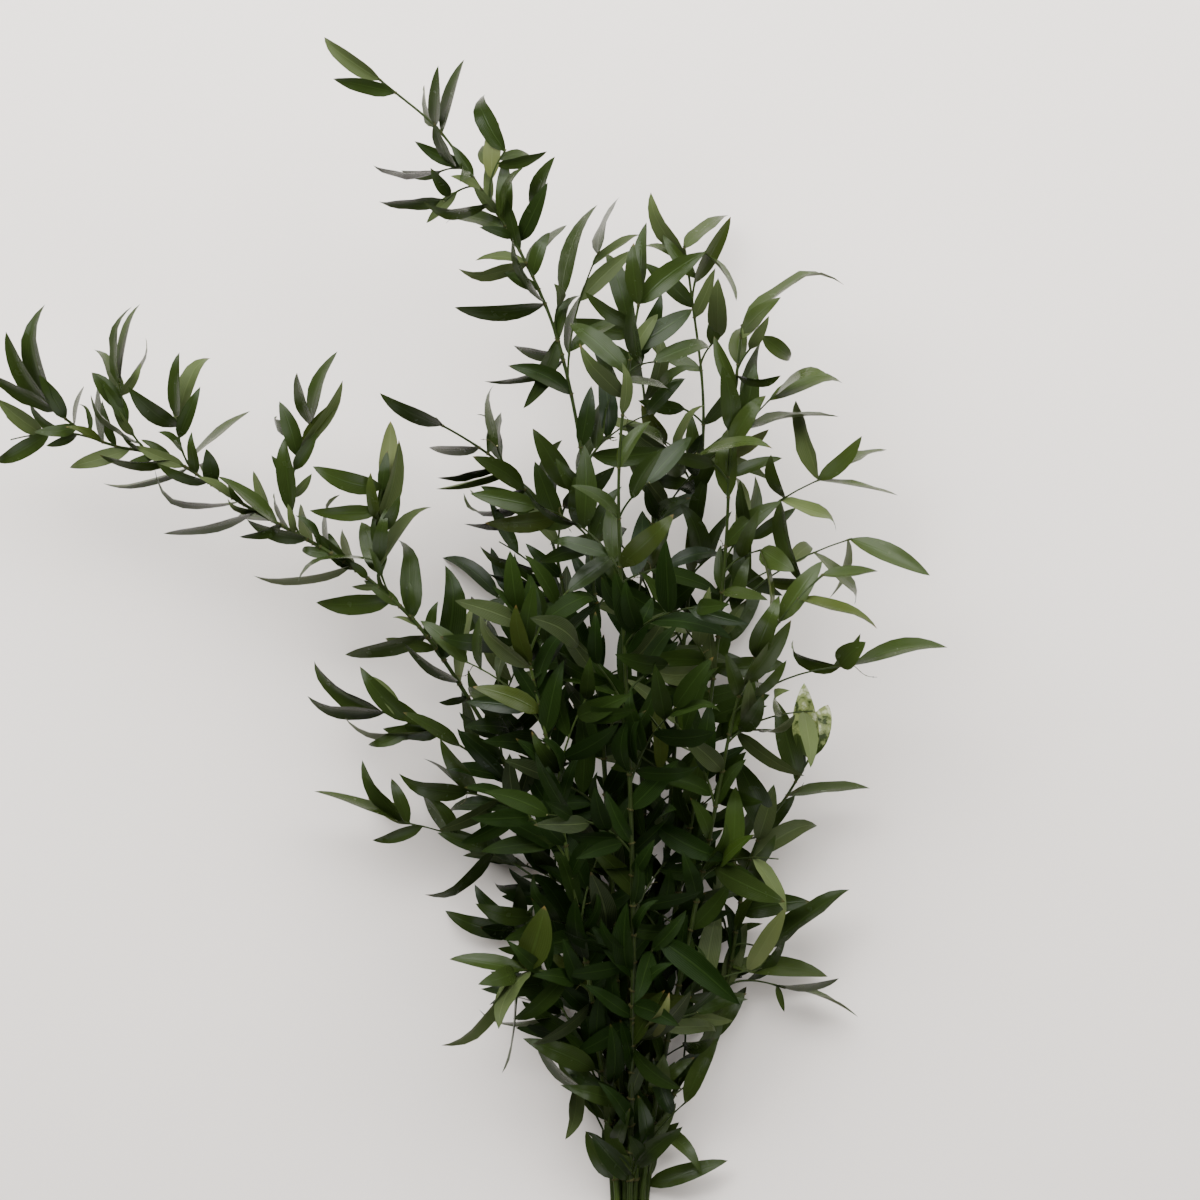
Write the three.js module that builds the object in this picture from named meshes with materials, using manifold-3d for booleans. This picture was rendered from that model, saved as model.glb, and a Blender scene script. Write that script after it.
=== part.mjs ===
// A bunch of Italian ruscus: ten cut leafy stems, gathered at the grip and lying on a table.
// Millimetres, +Z up, +Y from the cut ends towards the tips. The origin is on the flat underside
// of the middle bottom stem, in the grip. Each stem is one solid: its wood, shoots and leaves.
import * as THREE from "three";
import { mergeVertices } from "three/addons/utils/BufferGeometryUtils.js";
import Module from "manifold-3d";

const wasm = await Module();
wasm.setup();

// Wood
const STEM_RADIUS = 2.6;
const STEM_TIP_RADIUS = 1.0;
const SHOOT_RADIUS = 1.0;
const SHOOT_TIP_RADIUS = 0.8;
const STEM_SIDES = 5;
const SHOOT_SIDES = 3;
const STEM_RING_GAP = 48;
const SHOOT_RING_GAP = 26;
const CUT_END_Y = -80;
const GRIP_TOP_Y = 55;
const GRIP_PITCH = 5.6;
const ROW_RISE = GRIP_PITCH * Math.sin(Math.PI / 3);
const GRIP_CORNERS = 4;
const CHORDS_PER_CORNER = 8;
const SHOOT_CHORDS = 8;
const SHOOT_BEND = 0.25;
const LOWEST_SHOOT_END = 4;
const RISE_CHANGES = [0, 5, -5, 10, -10, 16, -16, 24, -24];

// Leaves
const LEAF_LENGTH = [43, 60];
const LEAF_SLIMNESS = [0.13, 0.165];
const BLADE_THICKNESS = 0.8;
const LONG_BLADE = [0, 0.16, 0.42, 0.74, 1];
const SHORT_BLADE = [0, 0.24, 0.64, 1];
const LONG_FROM = 52;
const SHOULDER = 0.7;
const TAPER = 1.1;
const LEAF_SPACING = 16;
const ROOT_SINK = 0.3;

// The three corners of a blade's section: its two edges, and the keel one thickness below the rib
const BLADE_CORNERS = [
  { across: 1, below: 0 },
  { across: 0, below: BLADE_THICKNESS },
  { across: -1, below: 0 },
];
const BLADE_END = { across: 0, below: 0 };

// Leaf poses: how far a blade curls, folds and twists, in radians. An outer leaf is longer than it
// looks where it points up or down, and changes its rise and roll in steps where it has no room.
const OUTER_CURL = [0.15, 0.55];
const INNER_CURL = [0.25, 0.9];
const FOLD = [0.2, 0.5];
const TWIST = [-0.35, 0.35];
const LEAST_HIDDEN = 1.02;
const MOST_HIDDEN = 1.35;
const POSE_STEP = 0.14;
const POSE_STEPS = 4;
const ROOT_STEP = 1;
const ROOT_SLIDE = [0, 5, -5];

// Leaves placed by rule: turned off their twig to each side, raised and rolled, in radians
const LEAF_TURN = [0.5, 1.05];
const LEAF_SWAY = [-0.3, 0.3];
const LEAF_RISE = [-0.35, 0.5];
const LEAF_ROLL = [-0.8, 0.8];
const LOOSER = 0.08;
const STEEPEST_RISE = 1.3;
const FIRST_LEAF = 12;
const LAST_LEAF = 6;
const END_LEAF = { inset: 1.5, scale: 0.9 };

// Short inner twigs, placed by rule along a stem: their angles and rise for each mm of length
const TWIG_SPACING = 50;
const TWIG_LENGTH = [45, 74];
const TWIG_TURN = [0.45, 1.15];
const TWIG_RISE = [-0.7, 0.8];

// Room kept between pieces, where it is measured, and how a blade may lie on the table
const LEAF_GAP = 4.8;
const SHOOT_GAP = 4.2;
const NEIGHBOUR_GAP = 3;
const WOOD_SAMPLE = 5;
const SHOOT_CLEAR_FROM = 8;
const SHOOT_TAKEN_FROM = 3;
const BLADE_SAMPLES = [0.15, 0.27, 0.39, 0.51, 0.63, 0.75, 0.88];
const EDGES_AND_RIB = [-1, 0, 1];
const TABLE_SAMPLES = [0.16, 0.42, 0.74, 1];
const TRIES = 24;
const OUTER_TRIES = POSE_STEPS * 4 * ROOT_SLIDE.length;
const MOST_PRESS = 7;
const LEAST_FLAT = 0.6;

// How far the dense part of the bunch reaches, seen from above: y, its left x and its right x, mm
const SPREAD = [
  [50, -24, 28], [80, -28, 42], [105, -42, 40], [130, -52, 48], [155, -84, 62], [180, -106, 84],
  [205, -108, 106], [255, -114, 122], [280, -118, 108], [305, -140, 112], [350, -150, 126],
  [375, -130, 136], [400, -118, 126], [425, -126, 118], [455, -150, 118], [480, -160, 132],
  [505, -126, 136], [530, -112, 126], [560, -112, 112], [590, -112, 104], [620, -98, 108],
  [645, -92, 110], [670, -64, 104], [690, -50, 80], [715, -40, 62], [740, -10, 10],
];

const UP = new THREE.Vector3(0, 0, 1);
const WOOD = { color: 0x33401c, roughness: 0.55, metalness: 0 };
const WELD_WITHIN = 1e-4;
const SEED = 20311;
const DRAW_FACTOR = 16807;
const DRAW_RANGE = 2147483647;

// One row for each cut stem.
//   grip    where it lies in the grip: mm from the middle, and its row, counted from the table
//   route   gentle corners of its line above the grip: x, y and rise, mm
//   shoots  side shoots: where each leaves the stem, where it ends, and its rise, mm
//   leaves  outer leaves, root to tip as seen from above, and the breadth seen, mm
//   rests   the same for leaves whose tips stand on the table
//   inner   the stretch of the stem, mm from the cut end, that carries short inner twigs
//   crown   the length below the tip, mm, that carries leaves of its own
const STEMS = [
  {
    name: "stem_left_arch",
    grip: [-11.2, 0],
    route: [
      [-18, 123, 10], [-33, 197, 22], [-49, 256, 32], [-71, 316, 42], [-92, 361, 50],
      [-118, 405, 58], [-144, 445, 64], [-169, 470, 68], [-200, 494, 72], [-231, 511, 75],
      [-262, 528, 78], [-291, 545, 80], [-315, 563, 82], [-336, 570, 84], [-372, 574, 86],
      [-402, 599, 92],
    ],
    shoots: [
      [-14, 78, -38, 123, 6], [-48, 253, -162, 310, 6], [-84, 326, -176, 388, 10],
      [-167, 468, -172, 549, 12], [-231, 511, -223, 589, 10], [-304, 557, -316, 594, 10],
      [-336, 570, -356, 617, 12], [-372, 574, -433, 578, -4],
    ],
    leaves: [
      [-405, 610, -435, 653, 12], [-406, 617, -419, 670, 15], [-410, 576, -441, 606, 14],
      [-424, 603, -448, 623, 10], [-418, 598, -426, 617, 8], [-386, 592, -380, 615, 6],
      [-357, 606, -372, 646, 8], [-357, 620, -354, 672, 9], [-354, 618, -346, 675, 6],
      [-357, 610, -335, 649, 4], [-363, 585, -373, 618, 7], [-336, 578, -381, 608, 7],
      [-318, 587, -349, 613, 14], [-319, 596, -316, 639, 10], [-308, 589, -296, 642, 13],
      [-306, 563, -266, 599, 4], [-290, 550, -295, 571, 13], [-322, 550, -371, 566, 8],
      [-315, 549, -369, 543, 4], [-284, 516, -338, 542, 4], [-273, 507, -326, 512, 4],
      [-258, 508, -282, 526, 7], [-253, 508, -287, 553, 10], [-229, 578, -255, 592, 10],
      [-237, 528, -243, 580, 14], [-220, 594, -232, 624, 11], [-220, 594, -205, 640, 10],
      [-229, 568, -198, 618, 8], [-238, 515, -252, 541, 6], [-222, 505, -232, 534, 9],
      [-209, 501, -211, 542, 5], [-174, 545, -222, 559, 15], [-168, 526, -224, 527, 13],
      [-173, 550, -168, 592, 14], [-163, 517, -161, 578, 14], [-166, 491, -142, 536, 10],
      [-167, 487, -189, 522, 18], [-154, 452, -154, 513, 18], [-186, 494, -204, 517, 7],
      [-203, 477, -265, 480, 6], [-182, 491, -241, 489, 10], [-168, 466, -221, 464, 15],
      [-126, 428, -124, 491, 20], [-117, 409, -111, 463, 8], [-140, 442, -201, 426, 10],
      [-119, 409, -158, 435, 10], [-102, 405, -134, 394, 6], [-89, 333, -124, 376, 14],
      [-178, 391, -226, 421, 13], [-173, 385, -227, 392, 10], [-152, 388, -190, 418, 15],
      [-144, 363, -202, 377, 8], [-121, 361, -161, 389, 11], [-113, 337, -161, 337, 15],
      [-154, 330, -192, 349, 10], [-163, 312, -222, 332, 6],
      [-126, 291, -147, 328, 13], [-84, 309, -119, 295, 13], [-77, 302, -117, 324, 10],
      [-102, 274, -136, 251, 11], [-38, 127, -43, 87, 13], [-34, 111, -19, 86, 13],
      [-21, 116, -56, 137, 9],
    ],
    rests: [[-154, 312, -186, 326, 12]],
    inner: [300, 470],
    crown: 0,
  },
  {
    name: "stem_top_left",
    grip: [-2.8, 1],
    route: [
      [-6, 130, 20], [-10, 214, 44], [-15, 305, 68], [-21, 396, 90], [-25, 466, 104],
      [-29, 536, 114], [-37, 592, 120], [-48, 641, 124], [-59, 673, 126], [-80, 716, 128],
      [-100, 746, 128], [-114, 766, 127], [-132, 794, 125], [-162, 817, 122], [-175, 828, 120],
    ],
    shoots: [
      [-112, 764, -133, 763, -8], [-104, 752, -129, 742, 8], [-98, 741, -86, 778, 10],
      [-77, 708, -67, 735, -8], [-52, 652, -47, 676, 12], [-41, 620, -22, 707, 8],
    ],
    leaves: [
      [-177, 830, -216, 857, 12], [-165, 815, -207, 828, 12], [-133, 795, -144, 825, 7],
      [-130, 799, -133, 835, 10], [-128, 792, -115, 840, 10], [-121, 767, -136, 795, 7],
      [-136, 753, -178, 764, 6], [-133, 766, -160, 765, 6], [-120, 739, -138, 764, 10],
      [-130, 741, -175, 741, 10], [-118, 767, -117, 745, 8], [-104, 736, -139, 733, 7],
      [-92, 720, -132, 735, 14], [-85, 780, -108, 821, 14], [-93, 766, -106, 783, 11],
      [-87, 769, -67, 775, 8], [-93, 731, -78, 765, 8], [-91, 732, -100, 760, 10],
      [-68, 736, -54, 772, 14], [-78, 715, -56, 757, 14], [-66, 703, -44, 728, 8],
      [-74, 697, -117, 687, 10], [-59, 671, -122, 668, 10], [-57, 673, -83, 715, 8],
      [-49, 676, -26, 741, 13], [-21, 696, 7, 722, 8], [-23, 711, -8, 748, 7],
      [-49, 636, -82, 643, 8], [-49, 631, -102, 617, 7], [-66, 641, -74, 596, 15],
      [-44, 638, -4, 662, 10],
    ],
    rests: [],
    inner: [300, 680],
    crown: 0,
  },
  {
    name: "stem_left_front",
    grip: [-8.4, 1],
    route: [
      [-17, 116, 24], [-24, 165, 44], [-31, 218, 64], [-41, 270, 84], [-50, 326, 102],
      [-59, 375, 116], [-70, 423, 128], [-78, 459, 134],
    ],
    shoots: [
      [-17, 104, -83, 231, -22],
    ],
    leaves: [
      [-83, 227, -132, 244, 14], [-73, 197, -126, 218, 11], [-82, 234, -77, 277, 15],
      [-72, 206, -59, 253, 24], [-77, 183, -99, 190, 17], [-91, 178, -125, 150, 10],
      [-59, 167, -108, 169, 6], [-88, 176, -88, 135, 4], [-21, 184, -56, 186, 10],
      [-21, 184, -68, 155, 11], [-70, 410, -21, 466, 14],
    ],
    rests: [],
    inner: [230, 540],
    crown: 90,
  },
  {
    name: "stem_left_back",
    grip: [-5.6, 0],
    route: [
      [-13, 123, 6], [-22, 186, 12], [-28, 256, 20], [-34, 326, 28], [-38, 396, 36],
      [-43, 452, 44], [-50, 494, 50], [-61, 528, 56], [-76, 547, 60], [-92, 564, 64],
      [-118, 581, 68], [-133, 589, 70],
    ],
    shoots: [
      [-42, 463, -92, 507, 10], [-54, 512, -77, 536, 8], [-85, 557, -93, 574, 10],
      [-39, 396, -93, 437, 12], [-54, 508, -61, 538, -8], [-38, 392, -66, 452, -26],
    ],
    leaves: [
      [-133, 592, -175, 608, 10], [-105, 574, -142, 573, 6], [-91, 562, -135, 551, 7],
      [-90, 552, -136, 543, 7], [-76, 542, -115, 538, 6], [-76, 533, -121, 530, 6],
      [-69, 521, -117, 519, 6], [-62, 487, -106, 499, 7], [-57, 477, -99, 484, 6],
      [-45, 468, -84, 472, 6], [-97, 573, -101, 618, 8], [-89, 564, -91, 599, 7],
      [-94, 438, -113, 469, 10], [-63, 536, -49, 578, 10],
    ],
    rests: [[-66, 452, -92, 490, 14]],
    inner: [175, 590],
    crown: 0,
  },
  {
    name: "stem_centre_front",
    grip: [0, 2],
    route: [
      [1, 130, 34], [3, 214, 68], [1, 305, 98], [-2, 396, 122], [-6, 466, 138], [-9, 536, 150],
      [-7, 585, 156], [-1, 627, 160], [4, 662, 162], [8, 682, 162],
    ],
    shoots: [
      [-2, 622, 18, 630, 6], [-9, 522, 13, 547, 8], [-4, 400, 27, 421, -8], [2, 185, 22, 232, 8],
    ],
    leaves: [
      [-13, 606, -26, 652, 10], [-14, 606, -36, 636, 13], [16, 629, 60, 647, 11],
      [7, 627, 0, 669, 11], [0, 617, 29, 612, 7], [10, 547, 43, 580, 14],
      [27, 421, -10, 428, 14], [-2, 182, 34, 169, 15], [22, 228, 77, 183, 20],
      [16, 219, 5, 186, 14], [-2, 170, -40, 146, 14], [2, 150, 36, 124, 13],
    ],
    rests: [],
    inner: [135, 590],
    crown: 60,
  },
  {
    name: "stem_back_right",
    grip: [5.6, 0],
    route: [
      [13, 130, 5], [21, 221, 12], [28, 312, 20], [34, 396, 27], [41, 466, 33], [49, 536, 38],
      [53, 592, 42], [50, 634, 45], [44, 673, 48], [41, 699, 50], [38, 715, 50],
    ],
    shoots: [
      [43, 676, 53, 711, 8], [51, 631, 63, 651, 8], [51, 550, 24, 578, -6], [52, 589, 18, 605, 8],
      [34, 392, 68, 436, -18],
    ],
    leaves: [
      [34, 706, 12, 751, 10], [40, 716, 70, 741, 11], [45, 689, 71, 735, 10],
      [53, 714, 75, 675, 6], [38, 671, 8, 704, 13], [62, 650, 61, 690, 14],
      [24, 580, 8, 603, 15], [18, 603, 37, 633, 10],
    ],
    rests: [[68, 436, 94, 474, 14]],
    inner: [165, 640],
    crown: 0,
  },
  {
    name: "stem_right_top",
    grip: [2.8, 1],
    route: [
      [12, 130, 20], [27, 221, 38], [42, 305, 54], [55, 382, 68], [63, 452, 80], [68, 515, 90],
      [69, 564, 96], [72, 606, 100], [76, 638, 102], [78, 658, 103],
    ],
    shoots: [
      [69, 563, 102, 610, -8], [76, 626, 93, 650, 8], [67, 494, 142, 554, -8],
      [69, 547, 46, 568, 8], [62, 444, 155, 509, 10], [66, 484, 92, 501, 12],
    ],
    leaves: [
      [93, 650, 115, 633, 13], [85, 587, 90, 648, 13], [97, 606, 149, 626, 11],
      [97, 612, 134, 627, 6], [85, 581, 146, 595, 8], [78, 622, 104, 620, 7],
      [141, 554, 181, 572, 7], [133, 548, 114, 606, 11], [133, 547, 188, 540, 4],
      [74, 582, 64, 629, 15], [46, 569, 97, 577, 8], [70, 552, 107, 566, 10],
      [112, 529, 97, 566, 8], [86, 510, 76, 549, 10], [112, 526, 151, 522, 11],
      [110, 526, 122, 475, 13], [97, 505, 114, 486, 17], [91, 500, 99, 449, 8],
      [50, 473, 96, 466, 10], [74, 662, 142, 704, 10], [83, 650, 104, 676, 13],
      [64, 631, 79, 664, 15], [155, 508, 209, 483, 14], [153, 505, 141, 466, 4],
      [130, 494, 166, 465, 7],
    ],
    rests: [],
    inner: [150, 600],
    crown: 0,
  },
  {
    name: "stem_right_mid",
    grip: [8.4, 1],
    route: [
      [20, 123, 22], [35, 200, 46], [50, 270, 68], [62, 333, 86], [71, 386, 100],
      [81, 416, 108], [98, 445, 114], [117, 468, 118], [134, 484, 120],
    ],
    shoots: [
      [72, 388, 156, 421, 10], [78, 403, 83, 410, 6],
    ],
    leaves: [
      [150, 486, 173, 487, 10], [118, 466, 173, 451, 10], [80, 407, 113, 454, 14],
      [146, 414, 106, 433, 8], [146, 416, 163, 437, 18], [158, 428, 220, 435, 11],
      [64, 403, 102, 412, 10],
    ],
    rests: [],
    inner: [165, 480],
    crown: 0,
  },
  {
    name: "stem_right_low",
    grip: [11.2, 0],
    route: [
      [22, 101, 4], [38, 129, 9], [53, 155, 14], [69, 190, 20], [76, 241, 28], [81, 274, 34],
      [92, 304, 40], [109, 325, 46], [119, 343, 50], [127, 356, 52],
    ],
    shoots: [
      [74, 221, 97, 218, -8], [69, 192, 110, 192, 6],
    ],
    leaves: [
      [111, 328, 170, 335, 8], [91, 281, 135, 312, 15], [98, 305, 74, 354, 21],
      [95, 219, 154, 264, 15], [77, 246, 127, 254, 17], [74, 207, 142, 202, 13],
      [102, 193, 147, 200, 6], [108, 192, 162, 172, 4], [80, 262, 49, 297, 8],
      [18, 95, 51, 66, 11], [20, 81, 28, 44, 15], [118, 343, 103, 396, 18],
      [125, 360, 122, 408, 21], [127, 356, 141, 395, 20], [14, 52, 70, 71, 15],
    ],
    rests: [],
    inner: [205, 400],
    crown: 0,
  },
  {
    name: "stem_centre_back",
    grip: [0, 0],
    route: [
      [-1, 95, 0], [-1, 151, 5], [3, 221, 11], [10, 305, 18], [15, 396, 25], [18, 466, 31],
      [16, 536, 36], [13, 592, 40], [6, 640, 44], [-2, 664, 46],
    ],
    shoots: [],
    leaves: [],
    rests: [],
    inner: [140, 640],
    crown: 60,
  },
];

// A seeded draw of numbers from 0 to 1 (Park and Miller's generator).
let seed = SEED;
function draw() {
  seed = (seed * DRAW_FACTOR) % DRAW_RANGE;
  return seed / DRAW_RANGE;
}

function between(low, high) {
  return low + (high - low) * draw();
}

// The line of a route: a uniform cubic B-spline, cut into short chords. It keeps within its
// corners, so a stem that starts flat on the table never dips below it.
function routeLine(corners) {
  const start = corners[0].clone().multiplyScalar(2).sub(corners[1]);
  const end = corners.at(-1).clone().multiplyScalar(2).sub(corners.at(-2));
  const all = [start, ...corners, end];
  const line = [];
  for (let i = 0; i + 1 < corners.length; i += 1) {
    for (let k = 0; k < CHORDS_PER_CORNER; k += 1) {
      const t = k / CHORDS_PER_CORNER;
      const weights = [(1 - t) ** 3, 3 * t ** 3 - 6 * t ** 2 + 4, 3 * (t + t * t - t ** 3) + 1, t ** 3];
      const point = new THREE.Vector3();
      weights.forEach((weight, n) => point.addScaledVector(all[i + n], weight / 6));
      line.push(point);
    }
  }
  line.push(corners.at(-1).clone());
  return line;
}

// The line of a side shoot: it leaves along its stem and curves out to its end.
function shootLine(from, heading, to) {
  const reach = from.distanceTo(to);
  const chord = to.clone().sub(from).divideScalar(reach);
  const bend = from.clone().addScaledVector(heading.clone().add(chord), SHOOT_BEND * reach);
  return new THREE.QuadraticBezierCurve3(from, bend, to).getPoints(SHOOT_CHORDS);
}

// A line with the distance to each of its points.
function measured(line) {
  const reach = [0];
  for (let i = 1; i < line.length; i += 1) {
    reach.push(reach[i - 1] + line[i].distanceTo(line[i - 1]));
  }
  return { line, reach, length: reach.at(-1) };
}

// A limb is a stem or a shoot: the line through its rings, and its radii. What grows from it
// starts on the straight chords between rings, so it is always rooted in the wood.
function makeLimb(smooth, ringGap, startRadius, endRadius, taperFrom) {
  const curve = measured(smooth);
  const rings = Math.max(2, Math.round(curve.length / ringGap));
  const line = [];
  for (let i = 0; i <= rings; i += 1) line.push(alongLimb(curve, (curve.length * i) / rings).point);
  return { ...measured(line), startRadius, endRadius, taperFrom };
}

function alongLimb(limb, distance) {
  let i = 1;
  while (i < limb.line.length - 1 && limb.reach[i] < distance) i += 1;
  const share = (distance - limb.reach[i - 1]) / (limb.reach[i] - limb.reach[i - 1]);
  const heading = limb.line[i].clone().sub(limb.line[i - 1]).normalize();
  return { point: limb.line[i - 1].clone().lerp(limb.line[i], share), heading };
}

function limbRadius(limb, distance) {
  const share = Math.max(0, (distance - limb.taperFrom) / (limb.length - limb.taperFrom));
  return limb.startRadius + (limb.endRadius - limb.startRadius) * share;
}

// The place on any of the limbs that is nearest to a point, seen from above.
function nearestWood(limbs, x, y) {
  let best = { gap: Infinity };
  for (const limb of limbs) {
    for (let distance = 0; distance < limb.length - SHOOT_RADIUS; distance += ROOT_STEP) {
      const place = alongLimb(limb, distance);
      const gap = Math.hypot(place.point.x - x, place.point.y - y);
      if (gap < best.gap) best = { gap, limb, distance, ...place };
    }
  }
  return best;
}

// A mesh round a row of stations: a sphere's net, its poles at the first and last station.
function spindle(sides, stations, place) {
  const shape = new THREE.SphereGeometry(1, sides, stations.length - 1);
  const spot = shape.getAttribute("position");
  for (let i = 0; i < spot.count; i += 1) {
    const row = Math.floor(i / (sides + 1));
    const turn = (i % (sides + 1)) % sides;
    const point = place(stations[row], turn);
    spot.setXYZ(i, point.x, point.y, point.z);
  }
  return shape;
}

function solid(shape) {
  shape.deleteAttribute("normal");
  shape.deleteAttribute("uv");
  const merged = mergeVertices(shape, WELD_WITHIN);
  const vertProperties = merged.getAttribute("position").array;
  const triVerts = new Uint32Array(merged.index.array);
  return new wasm.Manifold(new wasm.Mesh({ numProp: 3, vertProperties, triVerts }));
}

// A point at a limb's surface. Angles run from the left side round the underside.
function aroundLimb(limb, distance, angle, radius) {
  const { point, heading } = alongLimb(limb, distance);
  const left = new THREE.Vector3().crossVectors(UP, heading).normalize();
  const over = new THREE.Vector3().crossVectors(heading, left);
  point.addScaledVector(left, radius * Math.cos(angle));
  return point.addScaledVector(over, -radius * Math.sin(angle));
}

// A stem is a tapered tube with flat cut ends, and lies on one of its flats.
function stemWood(limb) {
  const rings = limb.line.length - 1;
  const shape = new THREE.CylinderGeometry(1, 1, 1, STEM_SIDES, rings);
  const spot = shape.getAttribute("position");
  for (let i = 0; i < spot.count; i += 1) {
    const distance = limb.reach[Math.round((0.5 - spot.getY(i)) * rings)];
    const angle = Math.atan2(spot.getX(i), spot.getZ(i)) - Math.PI / 2;
    const radius = limbRadius(limb, distance) * Math.hypot(spot.getX(i), spot.getZ(i));
    const point = aroundLimb(limb, distance, angle, radius);
    spot.setXYZ(i, point.x, point.y, point.z);
  }
  return solid(shape);
}

// A shoot starts inside its stem and ends in a point.
function shootWood(limb) {
  const { length } = limb;
  const rings = limb.reach.slice(1, -1);
  const stations = [0, SHOOT_RADIUS, ...rings, length - SHOOT_RADIUS, length];
  const shape = spindle(SHOOT_SIDES, stations, (distance, turn) => {
    const pole = distance === 0 || distance === length;
    const radius = pole ? 0 : limbRadius(limb, distance);
    return aroundLimb(limb, distance, (2 * Math.PI * turn) / SHOOT_SIDES, radius);
  });
  return solid(shape);
}

// A blade is an arched, folded lance shape. Its chord runs from root to tip.
function bladeBreadth(share) {
  const peak = SHOULDER / (SHOULDER + TAPER);
  const most = peak ** SHOULDER * (1 - peak) ** TAPER;
  return (share ** SHOULDER * (1 - share) ** TAPER) / most;
}

// A point of a free blade, share along it and across from -1 to 1, and the way its face looks.
function freeBlade(leaf, share, across) {
  const swing = leaf.curl * (share - 0.5);
  const radius = leaf.arc / leaf.curl;
  const forward = radius * (Math.sin(swing) + Math.sin(leaf.curl / 2));
  const outward = radius * (Math.cos(swing) - Math.cos(leaf.curl / 2));
  const point = leaf.root.clone().addScaledVector(leaf.chord, forward);
  point.addScaledVector(leaf.face, outward);
  const level = leaf.face.clone().multiplyScalar(Math.cos(swing));
  level.addScaledVector(leaf.chord, Math.sin(swing));
  const side = new THREE.Vector3().crossVectors(leaf.face, leaf.chord);
  const turn = leaf.twist * share;
  const edge = side.clone().multiplyScalar(Math.cos(turn)).addScaledVector(level, Math.sin(turn));
  const over = level.multiplyScalar(Math.cos(turn)).addScaledVector(side, -Math.sin(turn));
  const breadth = leaf.breadth * bladeBreadth(share);
  point.addScaledVector(edge, across * breadth * Math.cos(leaf.fold));
  point.addScaledVector(over, Math.abs(across) * breadth * Math.sin(leaf.fold));
  return { point, over };
}

// The same point as the table holds it up, lifted off the blade's middle surface.
function onBlade(leaf, share, across, lift) {
  const { point, over } = freeBlade(leaf, share, across);
  point.z = Math.max(point.z, share === 1 ? 0 : BLADE_THICKNESS);
  return point.addScaledVector(over, lift);
}

function bladeSolid(leaf) {
  const shape = spindle(BLADE_CORNERS.length, leaf.stations, (share, turn) => {
    const { across, below } = share === 0 || share === 1 ? BLADE_END : BLADE_CORNERS[turn];
    return onBlade(leaf, share, across, -below);
  });
  return solid(shape);
}

// What is already in place: points on wood and on leaves, each with its limb.
const taken = [];

function clear(points, gap, limb, neighbourGap) {
  for (const spot of taken) {
    const room = spot.limb === limb ? neighbourGap : gap;
    if (room === 0) continue;
    for (const point of points) {
      if (point.distanceToSquared(spot.point) < room * room) return false;
    }
  }
  return true;
}

function take(points, limb) {
  for (const point of points) taken.push({ point, limb });
}

function woodSamples(limb, from) {
  const points = [];
  for (let distance = from; distance <= limb.length; distance += WOOD_SAMPLE) {
    points.push(alongLimb(limb, distance).point);
  }
  return points;
}

function bladeSamples(leaf) {
  const points = [onBlade(leaf, 1, 0, 0)];
  for (const share of BLADE_SAMPLES) {
    for (const across of EDGES_AND_RIB) points.push(onBlade(leaf, share, across, 0));
  }
  return points;
}

// A blade may press a little on the table where it lies flat, and stays clear of it elsewhere.
function fitsTable(leaf) {
  let lowest = Infinity;
  let steepest = 1;
  for (const share of TABLE_SAMPLES) {
    for (const across of EDGES_AND_RIB) {
      const { point, over } = freeBlade(leaf, share, across);
      lowest = Math.min(lowest, point.z);
      steepest = Math.min(steepest, Math.abs(over.z));
    }
  }
  if (lowest > BLADE_THICKNESS) return true;
  return lowest > -MOST_PRESS && steepest > LEAST_FLAT;
}

// The length along a blade of a given length from root to tip and a given curl.
function arcOf(full, curl) {
  return (full * curl) / (2 * Math.sin(curl / 2));
}

// A leaf from its root, plan heading, rise, roll and size.
function makeLeaf(place, plan, rise, roll, size) {
  const chord = new THREE.Vector3(plan.x * Math.cos(rise), plan.y * Math.cos(rise), Math.sin(rise));
  const left = new THREE.Vector3().crossVectors(UP, chord).normalize();
  const over = new THREE.Vector3().crossVectors(chord, left);
  const face = over.clone().multiplyScalar(Math.cos(roll)).addScaledVector(left, Math.sin(roll));
  const sink = ROOT_SINK * limbRadius(place.limb, place.distance);
  const root = place.point.clone().addScaledVector(chord, -sink);
  return { root, chord, face, ...size };
}

// Tries poses of one leaf until it is clear of all that is in place.
function placeLeaf(stem, limb, tries, pose) {
  for (let attempt = 0; attempt < tries; attempt += 1) {
    const leaf = pose(attempt);
    if (!leaf) continue;
    const points = bladeSamples(leaf);
    if (!clear(points, LEAF_GAP, limb, NEIGHBOUR_GAP)) continue;
    take(points, limb);
    stem.blades.push(leaf);
    return;
  }
}

// The same root, moved along its limb.
function slideRoot({ limb, distance }, step) {
  const slid = Math.min(Math.max(distance + step, 0), limb.length - SHOOT_RADIUS);
  return { limb, distance: slid, ...alongLimb(limb, slid) };
}

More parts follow.
